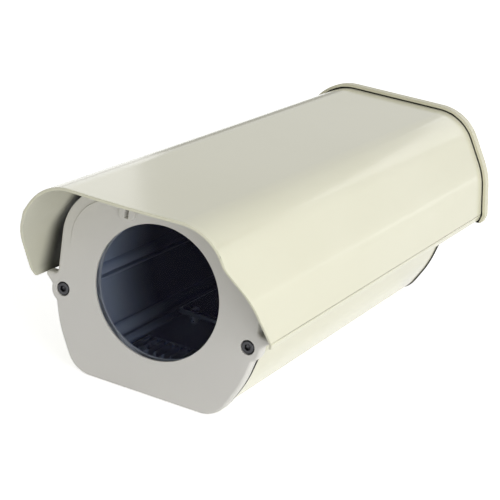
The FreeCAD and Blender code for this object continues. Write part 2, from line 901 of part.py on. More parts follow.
def rear_cover(section):
    """Flat plate with a locating rim, four corner screw holes and three gland holes."""
    outline = inset("rear_cover_line", section, "rear_plate_inset")
    blank = slab("rear_blank", outline, REAR_PLATE, "rear_plate")
    plate = rounded("rear_eased", blank, "edge_round", at_station(f"{REAR_PLATE} + rear_plate"))
    start, depth = f"{BODY_REAR} - rim_depth", "rear_seal + rim_depth"
    rim = cut(
        "rear_rim",
        slab("rear_rim_out", inset("rim_out_line", section, "body_wall + rim_gap"), start, depth),
        slab("rear_rim_in", inset("rim_in_line", section, "body_wall + rim_gap + rim_thick"), start, depth),
        side_rods("rim_side_gaps", "port_boss + 3 * rim_gap", start, depth),
        corner_rods("rim_corner_gaps", "corner_port + 3 * rim_gap", start, depth),
        block("rim_floor_gap", ("-side_half", start, "0"), ("2 * side_half", depth, "floor_gap")),
    )
    holes = [corner_rods("rear_screw_holes", "corner_screw + fit_gap", REAR_PLATE, "rear_plate")]
    for side, across in GLANDS.items():
        place = (across, REAR_PLATE, "gland_height")
        holes.append(rod(f"gland_hole_{side}", "gland_thread + hole_gap", "rear_plate", place))
    return cut("rear_cover", fuse("rear_solid", plate, rim), *holes)


def rear_cover_screws():
    """Four socket head screws into the corner ports."""
    sizes = (
        "corner_screw",
        "corner_length",
        "corner_head",
        "corner_head_height",
        "corner_socket",
        "corner_head_height / 2",
    )
    pairs = []
    for corner in CORNER_PORTS:
        across, up = corner_place(corner)
        place = {"x": across, "y": f"{REAR_PLATE} + rear_plate", "z": up}
        screw = socket_screw(f"rear_screw_{corner}", sizes, FORWARD, **place)
        pairs.append(pair(f"rear_screws_{corner}", screw))
    return group("rear_cover_screws", *pairs)


GLANDS = {"left": "-gland_pitch", "centre": "0", "right": "gland_pitch"}
GLAND_SEAT = f"{REAR_PLATE} + rear_plate + gland_washer"
GLAND_THREAD_END = "-(gland_washer + rear_plate + locknut_thick + bore_margin)"
SEAL_FOOT = "gland_flange + gland_collar_length * 0.5"
SEAL_TOP = "gland_flange + gland_collar_length + seal_rise"


def gland_body(side):
    """Gland body: threaded spigot, hexagon flange and the collar that the nut turns on."""
    body = new_body(f"gland_body_{side}", REARWARD, x=GLANDS[side], y=GLAND_SEAT, z="gland_height")
    top = "gland_flange + gland_collar_length"
    pocket_radius = "gland_collar - gland_wall"
    corners = [
        ("cable_radius + bore_margin", GLAND_THREAD_END),
        ("gland_thread", GLAND_THREAD_END),
        ("gland_thread", "0"),
        ("gland_collar", "0"),
        ("gland_collar", top),
        (pocket_radius, top),
        (pocket_radius, SEAL_FOOT),
        ("cable_radius + bore_margin", SEAL_FOOT),
    ]
    turned(body, f"gland_body_{side}_outline", corners)
    flange = body_sketch(body, f"gland_body_{side}_flange", "XY_Plane")
    hexagon(flange, "gland_across")
    ring(flange, "gland_collar - sink")
    pad(body, flange, "gland_flange")
    return body


def gland_nut(side):
    """Dome nut that turns on the collar and closes over the seal."""
    body = new_body(f"gland_nut_{side}", REARWARD, x=GLANDS[side], y=GLAND_SEAT, z="gland_height")
    foot, head = "gland_flange + fit_gap", "gland_flange + nut_length"
    bore = "gland_collar + turn_gap"
    shoulder = "gland_flange + gland_collar_length + sink"
    outer = "nut_across / 2 - nut_chamfer"
    corners = [
        (bore, foot),
        (outer, foot),
        (outer, f"{head} - nut_dome"),
        ("nut_mouth + nut_lip", head),
        ("nut_mouth", head),
        ("nut_mouth", f"{head} - nut_lip"),
        ("gland_collar - gland_wall / 2", shoulder),
        (bore, shoulder),
    ]
    turned(body, f"gland_nut_{side}_outline", corners, {2: "nut_mouth_round"})
    grip = body_sketch(body, f"gland_nut_{side}_grip", "XY_Plane", foot)
    hexagon(grip, "nut_across")
    ring(grip, "nut_across / 2 - nut_lip / 2")
    pad(body, grip, "nut_length * 0.4")
    return body


def gland_seal(side):
    """Rubber seal that the nut squeezes round the cable."""
    body = new_body(f"gland_seal_{side}", REARWARD, x=GLANDS[side], y=GLAND_SEAT, z="gland_height")
    wide = "gland_collar - gland_wall - fit_gap"
    corners = [
        ("cable_radius", f"{SEAL_FOOT} + hole_gap"),
        (wide, f"{SEAL_FOOT} + hole_gap"),
        (wide, "gland_flange + gland_collar_length"),
        ("cable_radius + bore_margin", f"{SEAL_TOP} - bore_margin"),
        ("cable_radius", SEAL_TOP),
    ]
    turned(body, f"gland_seal_{side}_outline", corners)
    return body


def gland_ring(side, kind, outer, start, thick):
    """Round or six-sided ring on the gland's spigot."""
    body = new_body(f"gland_{kind}_{side}", REARWARD, x=GLANDS[side], y=start, z="gland_height")
    sketch = body_sketch(body, f"gland_{kind}_{side}_outline", "XY_Plane")
    if kind == "locknut":
        hexagon(sketch, outer)
    else:
        ring(sketch, outer)
    ring(sketch, "gland_thread + thread_gap")
    pad(body, sketch, thick)
    return body


def sheet_line(name, closed, foot="fold_height - lip_drop"):
    """Outer line of the shield: lip down to a foot, fold, shoulder and top, mirrored."""
    right = [
        (f"fold_half - lip_inward * (fold_height - ({foot})) / lip_drop", foot),
        ("fold_half", "fold_height"),
        ("shoulder_half", "shoulder_height"),
        ("shield_top_half", "shield_top"),
    ]
    rounds = {2: "shoulder_round", 3: "shield_round"}
    return profile(name, both_sides(right), both_rounds(4, rounds), closed)


def hanger():
    """Hanging rail with an inward hook under the shield's right side."""
    inner = "rail_half + rail_stem / 2 + rail_hook + hanger_gap"
    length = f"({SHIELD_REAR}) - ({BODY_FRONT})"
    hook_top = f"{SHIELD_UNDER} - rail_hook_thick - fit_gap"
    stem = block(
        "hanger_stem_block",
        (inner, BODY_FRONT, f"{hook_top} - hanger_hook_thick"),
        ("hanger_stem", length, f"{SHIELD_UNDER} + sink - ({hook_top} - hanger_hook_thick)"),
    )
    hook = block(
        "hanger_hook_block",
        (f"{inner} - hanger_hook", BODY_FRONT, f"{hook_top} - hanger_hook_thick"),
        ("hanger_hook + sink", length, "hanger_hook_thick"),
    )
    return fuse("hanger", stem, hook)


def cap_ports(name, radius, start, length):
    """Rods along Y at the two ports for the cap's screws."""
    up = f"{SHIELD_UNDER} - cap_port_drop"
    right = rod(f"{name}_right", radius, length, ("cap_port_half", start, up))
    left = rod(f"{name}_left", radius, length, ("-cap_port_half", start, up))
    return fuse(name, right, left)


def sunshield():
    """Extruded shield: sheet section, hangers and screw ports, with a swept front end."""
    whole = "shield_rear + visor_reach"
    start = f"{FACE} - visor_reach"
    line = sheet_line("shield_line", False, "fold_height - lip_drop - 2")
    sheet_band = slab("shield_band", inset("shield_sheet", line, "shield_wall", True), start, whole)
    bound = slab("shield_bound", sheet_line("shield_solid_line", True), start, whole)
    skin = common("shield_skin", sheet_band, bound)
    rail = hanger()
    length = f"({SHIELD_REAR}) - ({BODY_FRONT})"
    rods = cap_ports("shield_port_rods", "cap_port", BODY_FRONT, length)
    ports = common("shield_ports", rods, bound)
    solid = fuse("shield_solid", skin, rail, mirror("hanger_left", rail), ports)
    groove = rod("fold_groove", "fold_line", whole, ("fold_half", start, "fold_height"))
    hole_foot = ("rail_half + rail_stem / 2 + rail_hook", "lock_station", LOCK_HEIGHT)
    depth = "hanger_gap + 2 * hanger_stem"
    lock = rod("lock_hole", "lock_screw + thread_gap", depth, hole_foot, OUTWARD)
    return cut(
        "sunshield",
        solid,
        visor_sweep(),
        visor_bow(),
        cap_ports("shield_port_bores", "cap_screw + thread_gap", BODY_FRONT, length),
        groove,
        mirror("fold_groove_left", groove),
        lock,
        mirror("lock_hole_left", lock),
    )


def visor_sweep():
    """What the slanted side cut takes away, seen from the side."""
    front = f"{FACE} - visor_reach - 5"
    rise = "(visor_corner_height - fold_height)"
    run = "(visor_corner_reach - visor_fold_reach)"
    below = "(lip_drop + 2)"
    corners = [
        (front, f"fold_height - {below}"),
        (f"{FACE} - visor_fold_reach + {below} * {run} / {rise}", f"fold_height - {below}"),
        (f"{FACE} - visor_corner_reach", "visor_corner_height"),
        (f"{FACE} - visor_corner_reach", "shield_top + 5"),
        (front, "shield_top + 5"),
    ]
    side = profile("visor_side", corners, {2: "visor_round"}, turn=SIDEWAYS)
    whole = slab("visor_side_cut", side, "-fold_half - 5", "2 * fold_half + 10", (1, 0, 0))
    top = block(
        "visor_side_limit",
        ("-fold_half - 6", f"{front} - 1", f"fold_height - {below} - 1"),
        ("2 * fold_half + 12", "visor_reach + 20", "shield_top - shield_round * 0.35 - fold_height"),
    )
    return common("visor_sweep", whole, top)


def visor_bow():
    """What lies ahead of the visor's bowed front edge, seen from above."""
    front = f"{FACE} - visor_reach"
    size = ("2 * fold_half + 10", "visor_reach / 2", "shield_top + 5")
    ahead = block("visor_ahead", ("-fold_half - 5", f"{front} - 1", "0"), size)
    drum = rod("visor_drum", "visor_bow", "shield_top + 10", ("0", f"{front} + visor_bow", "-2"), LEVEL)
    return cut("visor_bow", ahead, drum)


def shield_lock_screws():
    """Two set screws through the hangers, against the roof rails."""
    length = "(hanger_gap + hanger_stem + fit_gap)"
    head = f"rail_half + rail_stem / 2 + rail_hook + {length}"
    body = new_body("lock_screw", INWARD, x=head, y="lock_station", z=LOCK_HEIGHT)
    corners = [("0", "0"), ("lock_screw", "0"), ("lock_screw", length), ("0", length)]
    turned(body, "lock_screw_outline", corners)
    key = body_sketch(body, "lock_screw_key", "XY_Plane", f"{length} * 0.4")
    hexagon(key, "lock_screw")
    pocket(body, key, length)
    return pair("shield_lock_screws", body)


def shield_rear_cap():
    """Moulded cap: a rim round the shield's end, a groove for the sheet, and a rear wall."""
    line = sheet_line("cap_line", True, "cap_foot")
    blank = slab("cap_blank", inset("cap_outer_line", line, "-cap_proud"), CAP_FRONT, "cap_depth")
    eased = rounded("cap_eased", blank, "cap_round", at_station(f"{CAP_FRONT} + cap_depth"))
    slack = "shield_wall + fit_gap"
    deep = sheet_line("cap_deep_line", True, f"cap_foot - cap_proud + cap_wall - ({slack} + spigot_wall)")
    inside = inset("cap_inner_line", deep, f"{slack} + spigot_wall")
    hollow = slab("cap_hollow", inside, CAP_FRONT, "cap_depth - cap_wall")
    floor = f"{SHIELD_REAR} + cap_gap"
    depth = f"{CAP_FRONT} + cap_depth - cap_wall / 2 - ({floor})"
    bosses = cap_ports("cap_bosses", "cap_port", floor, depth)
    dish = cut("cap_dish", eased, hollow, cap_groove(slack), *hanger_gaps())
    holes = cap_ports("cap_holes", "cap_screw + fit_gap", CAP_FRONT, "cap_depth + 1")
    return cut("shield_rear_cap", fuse("cap_solid", dish, bosses), holes)


def cap_groove(slack):
    """Groove for the sheet, loose outside the shield and open below each lip."""
    line = sheet_line("groove_line", True, "cap_foot - 2 * cap_proud")
    outer = slab("groove_out", inset("groove_out_line", line, "-cap_slack"), CAP_FRONT, "cap_lap")
    inner = slab("groove_in", inset("groove_in_line", line, slack), CAP_FRONT, "cap_lap")
    return cut("cap_groove", outer, inner)


def hanger_gaps():
    """Gaps in the cap's inner wall for the hangers and the screw ports."""
    low = ("rail_half - rail_stem / 2", CAP_FRONT, "roof_height")
    size = ("hanger_room", "cap_lap", f"{SHIELD_UNDER} - roof_height + fit_gap")
    right = block("hanger_gap_right", low, size)
    round_ports = cap_ports("port_gaps", "cap_port + rim_gap", CAP_FRONT, "cap_lap")
    return [right, mirror("hanger_gap_left", right), round_ports]


def cap_screws():
    """Two socket head screws through the cap into the shield's ports."""
    sizes = (
        "cap_screw",
        "cap_screw_length",
        "corner_head",
        "cap_head_height",
        "cap_socket",
        "cap_head_height / 2",
    )
    place = {"x": "cap_port_half", "z": f"{SHIELD_UNDER} - cap_port_drop"}
    screw = socket_screw("cap_screw", sizes, FORWARD, y=f"{CAP_FRONT} + cap_depth", **place)
    return pair("cap_screws", screw)


def tray():
    """Sliding tray with an access slot under the camera plate's slot."""
    body = new_body("tray", y="tray_front - front_reach", z="tray_floor")
    sheet_sketch = body_sketch(body, "tray_sheet", "XY_Plane")
    corners = [
        ("-tray_half", "0"),
        ("tray_half", "0"),
        ("tray_half", "tray_length"),
        ("-tray_half", "tray_length"),
    ]
    draw(sheet_sketch, corners, {index: "tray_corner" for index in range(4)})
    pad(body, sheet_sketch, "tray_thick")
    slot = body_sketch(body, "tray_access", "XY_Plane", "tray_thick")
    low = "plate_front - tray_front + plate_length / 2 - tray_slot_length / 2"
    long_slot(slot, "tray_slot", low, "tray_slot_length")
    pocket(body, slot, "tray_thick + 1")
    hole = body_sketch(body, "tray_earth_hole", "XY_Plane", "tray_thick")
    ring(hole, "corner_screw + thread_gap", "0", "tray_length - earth_inset")
    pocket(body, hole, "tray_thick + 1")
    return body


def earth_screw():
    """Screw for the earth wire at the rear of the tray."""
    sizes = (
        "corner_screw",
        "earth_length",
        "earth_head",
        "cap_head_height",
        "cap_socket",
        "cap_head_height / 2",
    )
    along = "tray_front + tray_length - earth_inset - front_reach"
    return socket_screw("earth_screw", sizes, DOWNWARD, y=along, z=TRAY_TOP)


def long_slot(sketch, width, low, length):
    """Slot along Y with rounded ends."""
    half = f"({width}) / 2"
    high = f"{low} + {length}"
    corners = [(f"-{half}", low), (half, low), (half, high), (f"-{half}", high)]
    draw(sketch, corners, {index: f"{half} * 0.98" for index in range(4)})


def posts(name, radius, start, length):
    """Four upright rods under the camera plate's corners."""
    front = "plate_front - front_reach + post_inset"
    rear = "plate_front - front_reach + plate_length - post_inset"
    return [
        rod(f"{name}_{end}_{side}", radius, length, (across, along, start), LEVEL)
        for end, along in (("front", front), ("rear", rear))
        for side, across in (("right", "post_half"), ("left", "-post_half"))
    ]


def plate_standoffs():
    """Four posts between tray and camera plate, bored for the plate's screws."""
    outer = posts("standoff", "post_radius", TRAY_TOP, "post_height")
    bores = posts("standoff_bore", "small_screw + thread_gap", TRAY_TOP, "post_height")
    bored = [cut(f"post_{index}", *solids) for index, solids in enumerate(zip(outer, bores))]
    return group("plate_standoffs", *bored)


def flat_plate(name, start, margin, thick):
    """Rectangular plate with the camera screw's slot and the corner holes."""
    body = new_body(name, y="plate_front - front_reach", z=start)
    half, low, high = f"(plate_half - {margin})", margin, f"plate_length - {margin}"
    sheet_sketch = body_sketch(body, f"{name}_sheet", "XY_Plane")
    corners = [(f"-{half}", low), (half, low), (half, high), (f"-{half}", high)]
    draw(sheet_sketch, corners, {index: "tray_corner" for index in range(4)})
    pad(body, sheet_sketch, thick)
    slot = body_sketch(body, f"{name}_slot", "XY_Plane", thick)
    long_slot(slot, "plate_slot", "plate_length / 2 - plate_slot_length / 2", "plate_slot_length")
    pocket(body, slot, f"{thick} + 1")
    holes = body_sketch(body, f"{name}_holes", "XY_Plane", thick)
    hole = "small_screw + hole_gap" if margin == "0" else "small_head + pad_skin"
    for across in ("post_half", "-post_half"):
        for along in ("post_inset", "plate_length - post_inset"):
            ring(holes, hole, across, along)
    pocket(body, holes, f"{thick} + 1")
    return body


def plate_screws():
    """Four small screws from the camera plate into its posts."""
    sizes = (
        "small_screw",
        "plate_screw_length",
        "small_head",
        "small_head_height",
        "small_socket",
        "small_head_height / 2",
    )
    pairs = []
    for end, along in (("front", "post_inset"), ("rear", "plate_length - post_inset")):
        place = {"x": "post_half", "y": f"plate_front - front_reach + {along}", "z": PLATE_TOP}
        screw = socket_screw(f"plate_screw_{end}", sizes, DOWNWARD, **place)
        pairs.append(pair(f"plate_screws_{end}", screw))
    return group("plate_screws", *pairs)


SCREW_STATION = "plate_front - front_reach + plate_length / 2"


def screw_washer():
    """Washer that slides under the camera plate's slot."""
    body = new_body("screw_washer", y=SCREW_STATION, z="plate_height - camera_washer_thick")
    sketch = body_sketch(body, "screw_washer_rings", "XY_Plane")
    ring(sketch, "camera_washer")
    ring(sketch, "camera_thread + turn_gap")
    pad(body, sketch, "camera_washer_thick")
    return body


def camera_screw():
    """Screw that fastens the camera, with a slotted head below the washer."""
    base = "plate_height - camera_washer_thick - camera_head_height"
    body = new_body("camera_screw", y=SCREW_STATION, z=base)
    top = "camera_head_height + camera_washer_thick + plate_thick + pad_skin + camera_thread_length"
    corners = [
        ("0", "0"),
        ("camera_head", "0"),
        ("camera_head", "camera_head_height"),
        ("camera_thread", "camera_head_height"),
        ("camera_thread", top),
        ("0", top),
    ]
    turned(body, "camera_screw_outline", corners, {1: "camera_head_height * 0.25"})
    groove = body_sketch(body, "camera_screw_groove", "XY_Plane", "camera_head_height * 0.4")
    wide = "camera_head + 1"
    half = "camera_groove / 2"
    corners = [(f"-({wide})", f"-{half}"), (wide, f"-{half}"), (wide, half), (f"-({wide})", half)]
    draw(groove, corners)
    pocket(body, groove, "camera_head_height")
    return body


def heater():
    """Finned aluminium heater on the bracket pads, below the window."""
    start = f"{FACE} + heater_front"
    size = ("2 * heater_half", "heater_depth", "heater_base")
    base = block("heater_foot", ("-heater_half", start, "pad_thick"), size)
    count = int(value("(2 * heater_half - fin_thick) / fin_pitch")) + 1
    span = f"{count - 1} * fin_pitch + fin_thick"
    fins = []
    for index in range(count):
        low = (f"{index} * fin_pitch - ({span}) / 2", start, "pad_thick + heater_base / 2")
        size = ("fin_thick", "heater_depth", "fin_height + heater_base / 2")
        fins.append(block(f"heater_fin_{index}", low, size))
    foot_top = "pad_thick + heater_base"
    holes = heater_rods("heater_hole", "small_screw + hole_gap", "0", foot_top)
    recesses = heater_rods("heater_recess", "small_head + head_gap", foot_top, "fin_height + 1")
    return cut("heater", fuse("heater_solid", base, *fins), *holes, *recesses)


def heater_rods(name, radius, start, length):
    """Two upright rods through the heater's foot, between fins and over the pads."""
    along = f"{FACE} + heater_front + heater_depth / 2"
    return [
        rod(f"{name}_{side}", radius, length, (across, along, start), LEVEL)
        for side, across in (("right", "heater_screw_half"), ("left", "-heater_screw_half"))
    ]


def heater_screws():
    """Two small screws through the heater's foot into the pads."""
    sizes = (
        "small_screw",
        "heater_base + pad_thick * 0.7",
        "small_head",
        "small_head_height",
        "small_socket",
        "small_head_height / 2",
    )
    along = f"{FACE} + heater_front + heater_depth / 2"
    place = {"x": "heater_screw_half", "y": along, "z": "pad_thick + heater_base"}
    return pair("heater_screws", socket_screw("heater_screw", sizes, DOWNWARD, **place))


def check(thing):
    """Stop at any failed object, null shape or invalid shape."""
    if {"Invalid", "Error"} & set(thing.State):
        raise RuntimeError(f"{thing.Label} did not compute")


def build():
    """Make every piece and return it under its name."""
    section, ears = housing_section(), cover_section()
    pieces = [
        body_shell(section),
        front_cover(section, ears),
        gasket("front_gasket", section, f"{BODY_FRONT} - front_seal", "front_seal", "seal_inset"),
        window_seal(),
        window_glass(),
        window_ring(),
        window_ring_screws(),
        front_cover_screws(),
        rear_cover(section),
        gasket("rear_gasket", section, BODY_REAR, "rear_seal", "seal_bulge"),
        rear_cover_screws(),
        sunshield(),
        shield_rear_cap(),
        shield_lock_screws(),
        cap_screws(),
        tray(),
        plate_standoffs(),
        flat_plate("camera_plate", "plate_height", "0", "plate_thick"),
        flat_plate("camera_pad", PLATE_TOP, "pad_margin", "pad_skin"),
        plate_screws(),
        screw_washer(),
        camera_screw(),
        earth_screw(),
        heater(),
        heater_screws(),
    ]
    pieces += [maker(side) for maker in (gland_body, gland_nut) for side in GLANDS]
    pieces.append(group("gland_seals", *[gland_seal(side) for side in GLANDS]))
    outside, inside = f"{REAR_PLATE} + rear_plate", f"{REAR_PLATE} - locknut_thick"
    wide = "gland_across / 2 + bore_margin"
    washers = [gland_ring(side, "washer", wide, outside, "gland_washer") for side in GLANDS]
    nuts = [gland_ring(side, "locknut", "gland_across", inside, "locknut_thick") for side in GLANDS]
    return pieces + [group("gland_washers", *washers), group("gland_locknuts", *nuts)]


def export(pieces):
    """Write each piece to its own file, once all of them are sound."""
    for piece in pieces:
        if piece.Shape.isNull() or not piece.Shape.isValid():
            raise RuntimeError(f"{piece.Label} has no valid shape")
    os.makedirs("parts", exist_ok=True)
    for piece in pieces:
        piece.Shape.exportStep(f"parts/{piece.Label}.step")
        solids = len(piece.Shape.Solids)
        print(f"{piece.Label}: {solids} solid(s), {piece.Shape.Volume / 1000:.2f} cm3")


made = build()
doc.recompute()
for thing in doc.Objects:
    check(thing)
export(made)
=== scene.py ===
import json
import logging
import math
from dataclasses import dataclass, replace
from enum import Enum
from functools import cache
from typing import Any, Callable, Iterable

import bmesh
import bpy
from mathutils import Matrix, Vector


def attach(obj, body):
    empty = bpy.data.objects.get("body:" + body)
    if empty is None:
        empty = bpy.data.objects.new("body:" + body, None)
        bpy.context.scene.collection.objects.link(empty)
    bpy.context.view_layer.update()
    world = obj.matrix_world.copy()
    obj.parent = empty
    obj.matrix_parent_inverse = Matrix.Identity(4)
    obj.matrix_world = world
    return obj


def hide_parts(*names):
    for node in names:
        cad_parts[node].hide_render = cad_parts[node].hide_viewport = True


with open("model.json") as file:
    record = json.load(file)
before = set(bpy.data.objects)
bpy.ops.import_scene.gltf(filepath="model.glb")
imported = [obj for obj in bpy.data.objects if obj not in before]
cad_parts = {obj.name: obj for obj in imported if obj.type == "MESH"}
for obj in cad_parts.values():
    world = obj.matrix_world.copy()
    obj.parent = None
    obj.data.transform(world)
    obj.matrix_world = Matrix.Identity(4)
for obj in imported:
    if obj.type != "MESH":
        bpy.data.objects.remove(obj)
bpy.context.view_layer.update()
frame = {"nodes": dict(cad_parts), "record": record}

# Looks of an outdoor security camera housing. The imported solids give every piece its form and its
# place. Here each visible piece gets its eased edges, its small details and the finish of the real one.

log = logging.getLogger("housing")
# Body of every imported node, as the record has it
BODY_OF = {node: body for body, nodes in frame["record"]["behaviour"]["bodies"].items() for node in nodes}
# Picks a face by its middle and normal, or an edge by its middle and run
Test = Callable[[Vector, Vector], bool]
Place = tuple[float, float, float]
# Millimetres in a metre
PER_METRE = 1000.0
WHITE = (1.0, 1.0, 1.0, 1.0)
# A face looks along an axis when its normal's share of it is above the first, across it when it is below the second
ALONG_AXIS, ACROSS_AXIS = 0.9, 0.5
# Noise lies mostly between these values: the slow colour drift uses the narrow span, the gloss the wide one
DRIFT_SPAN = (0.35, 0.65)
GLOSS_SPAN = (0.3, 0.7)
# How many times finer the gloss varies than the colour
GLOSS_FINER = 6
# Points nearer than this are one, in millimetres; faces that turn less than this are one flat, in degrees
MERGE_MM = 0.002
FLAT_ANGLE = 0.2
# Edges that turn more than this are shaded sharp, in degrees
SMOOTH_ANGLE = 35.0
# Shares of a head's radius left in the valleys of its knurl, and of a core's radius left at its chamfered tip
KNURL_VALLEY = 0.965
TIP_SHARE = 0.8
# Least shares of a head's height and radius that the run and the place of an edge on its knurl have
KNURL_RUN, KNURL_OUT = 0.3, 0.95


def mm(value: float) -> float:
    """Metres from millimetres."""
    return value / PER_METRE


def linear(code: str) -> tuple[float, float, float, float]:
    """Turn an sRGB hex colour into linear light.

    Args:
        code: colour as #rrggbb.

    Returns:
        Red, green, blue and full alpha.
    """
    parts = [int(code[i:i + 2], 16) / 255 for i in (1, 3, 5)]
    red, green, blue = (c / 12.92 if c <= 0.04045 else ((c + 0.055) / 1.055) ** 2.4 for c in parts)
    return red, green, blue, 1.0


def cleared(owner: bpy.types.Material | bpy.types.World) -> bpy.types.NodeTree:
    """Give a material or world an empty node tree.

    Args:
        owner: the new material or world.

    Returns:
        Its node tree.
    """
    owner.use_nodes = True
    owner.node_tree.nodes.clear()
    return owner.node_tree


def add(tree: bpy.types.NodeTree, kind: str, inputs: dict[str | int, Any] | None = None,
        **settings: Any) -> bpy.types.Node:
    """Add one shader node with its settings and links.

    Args:
        tree: node tree of the material or world.
        kind: the node's type name.
        inputs: sockets to link or values to set, by the input's name or number.
        settings: attributes of the node itself.

    Returns:
        The new node.
    """
    node = tree.nodes.new(kind)
    for name, value in settings.items():
        setattr(node, name, value)
    for name, value in (inputs or {}).items():
        if isinstance(value, bpy.types.NodeSocket):
            tree.links.new(value, node.inputs[name])
        else:
            node.inputs[name].default_value = value
    return node


class Element(Enum):
    """What is selected in edit mode."""

    FACE = "FACE"
    EDGE = "EDGE"


class Way(Enum):
    """Which way a screw is driven."""

    REARWARD = (0, 1, 0)
    FORWARD = (0, -1, 0)
    DOWN = (0, 0, -1)


class Grain(Enum):
    """How a surface's fine relief runs: the share of its width along each axis."""

    EVEN = (1.0, 1.0, 1.0)
    ALONG = (1.0, 0.02, 1.0)


def noise(tree: bpy.types.NodeTree, width_mm: float, detail: float, grain: Grain) -> bpy.types.NodeSocket:
    """Add a noise of a real width in object space.

    Args:
        tree: the material's tree.
        width_mm: size of one feature.
        detail: octaves of finer noise.
        grain: direction of the pattern.

    Returns:
        The noise's factor.
    """
    point = add(tree, "ShaderNodeTexCoord").outputs["Object"]
    scaled = add(tree, "ShaderNodeMapping", {"Vector": point, "Scale": grain.value})
    made = add(tree, "ShaderNodeTexNoise", {
        "Vector": scaled.outputs["Vector"],
        "Scale": PER_METRE / width_mm,
        "Detail": detail,
        "Roughness": 0.55,
    })
    return made.outputs["Fac"]


def blend(tree: bpy.types.NodeTree, factor: Any, first: Any, second: Any) -> bpy.types.NodeSocket:
    """Mix two colours.

    Args:
        tree: the material's tree.
        factor: share of the second colour.
        first: colour or socket at nought.
        second: colour or socket at one.

    Returns:
        The mixed colour.
    """
    # Inputs 6 and 7 are the colours; this node's numbers and vectors have inputs of the same names
    return add(tree, "ShaderNodeMix", {0: factor, 6: first, 7: second}, data_type="RGBA").outputs[2]


@dataclass(frozen=True)
class Finish:
    """A material and how its surface was made. Widths and depths are real millimetres.

    Where the real relief is finer than the render can show, its width is drawn as coarse as it needs.
    """

    name: str
    colour: str
    tone: str
    roughness: float
    metallic: float = 0.0
    grain: Grain = Grain.EVEN
    grain_mm: float = 1.5
    depth_mm: float = 0.01
    drift_mm: float = 70.0
    spread: float = 0.06
    sockets: tuple[tuple[str, float], ...] = ()

    def tint(self, tree: bpy.types.NodeTree) -> bpy.types.NodeSocket:
        """Let the colour wander slowly between two tones.

        Args:
            tree: the material's tree.

        Returns:
            The colour.
        """
        drift = noise(tree, self.drift_mm, detail=2.0, grain=Grain.EVEN)
        low, high = DRIFT_SPAN
        ramp = add(tree, "ShaderNodeMapRange", {"Value": drift, "From Min": low, "From Max": high})
        return blend(tree, ramp.outputs["Result"], linear(self.colour), linear(self.tone))

    def gloss(self, tree: bpy.types.NodeTree) -> bpy.types.NodeSocket:
        """Let the roughness vary a little, as handling and moulding leave it.

        Args:
            tree: the material's tree.

        Returns:
            The roughness.
        """
        smear = noise(tree, self.drift_mm / GLOSS_FINER, detail=4.0, grain=self.grain)
        low, high = GLOSS_SPAN
        ramp = add(tree, "ShaderNodeMapRange", {
            "Value": smear,
            "From Min": low,
            "From Max": high,
            "To Min": self.roughness - self.spread,
            "To Max": self.roughness + self.spread,
        })
        return ramp.outputs["Result"]

    def relief(self, tree: bpy.types.NodeTree) -> bpy.types.NodeSocket:
        """Turn the fine relief into a normal.

        Args:
            tree: the material's tree.

        Returns:
            The normal.
        """
        height = noise(tree, self.grain_mm, detail=3.0, grain=self.grain)
        bump = add(tree, "ShaderNodeBump", {"Height": height, "Strength": 1.0, "Distance": mm(self.depth_mm)})
        return bump.outputs["Normal"]

    def material(self) -> bpy.types.Material:
        """Build the material once and hand out the same one after."""
        return finished(self)


@cache
def finished(finish: Finish) -> bpy.types.Material:
    """Build a finish's node material.

    Args:
        finish: the finish to build.

    Returns:
        Its material.
    """
    material = bpy.data.materials.new(finish.name)
    tree = cleared(material)
    surface = add(tree, "ShaderNodeBsdfPrincipled", {
        "Base Color": finish.tint(tree),
        "Metallic": finish.metallic,
        "Roughness": finish.gloss(tree),
        "Normal": finish.relief(tree),
    })
    for name, value in finish.sockets:
        surface.inputs[name].default_value = value
    add(tree, "ShaderNodeOutputMaterial", {"Surface": surface.outputs["BSDF"]})
    return material


@dataclass(frozen=True)
class PaintedShadeByDepth(Finish):
    """A colour that fades into a dark colour towards the rear: painted shade, drawn as colour deeper inside where
    little light reaches.
    """

    painted_shade: str = "#0C0C0B"
    fade_start_mm: float = -177.0
    shade_full_mm: float = -155.0

    def tint(self, tree: bpy.types.NodeTree) -> bpy.types.NodeSocket:
        """Fade the colour into painted shade by the distance behind the front edge.

        Args:
            tree: the material's tree.

        Returns:
            The colour.
        """
        point = add(tree, "ShaderNodeTexCoord").outputs["Object"]
        parts = add(tree, "ShaderNodeSeparateXYZ", {"Vector": point})
        fade = add(tree, "ShaderNodeMapRange", {
            "Value": parts.outputs["Y"],
            "From Min": mm(self.fade_start_mm),
            "From Max": mm(self.shade_full_mm),
        }, interpolation_type="SMOOTHSTEP")
        # The dark colour mixed in here is painted shade, not a bare surface
        return blend(tree, fade.outputs["Result"], super().tint(tree), linear(self.painted_shade))


# Polyester powder coat, sprayed and baked: ivory and glossy, levelled out so that the orange peel hardly shows
POWDER_COAT = Finish("ivory_powder_coat", "#E5E3CC", "#E3E1C9", 0.12, grain_mm=2.4, depth_mm=0.0015, spread=0.01,
                     drift_mm=110.0, sockets=(("Specular IOR Level", 0.36),))
# The same coat inside the shield, with painted shade: it fades to near black towards the rear, where the gap beside
# the cover lies in shade
SHADED_COAT_INSIDE = PaintedShadeByDepth("powder_coat_inside_with_painted_shade", "#DCDBCB", "#D8D7C6", 0.5, grain_mm=3.0, depth_mm=0.012)
# The same coat on the die-cast covers, a little greyer and coarser over the cast skin
CAST_COAT = Finish("powder_coat_on_casting", "#E3E1DC", "#E0DED9", 0.45, grain_mm=1.8, depth_mm=0.006, drift_mm=60.0)
# Injection-moulded ABS: matt from the spark-eroded mould, coloured through
MOULDED_ABS = Finish("moulded_ivory_abs", "#DFDCC4", "#DBD8BF", 0.48, grain_mm=0.9, depth_mm=0.008)
# Alloy steel with black oxide and a film of oil: dark, with soft glints on the edges
BLACK_OXIDE = Finish("black_oxide_steel", "#48484B", "#505053", 0.22, metallic=0.95, grain_mm=0.8, depth_mm=0.004,
                     drift_mm=6.0)
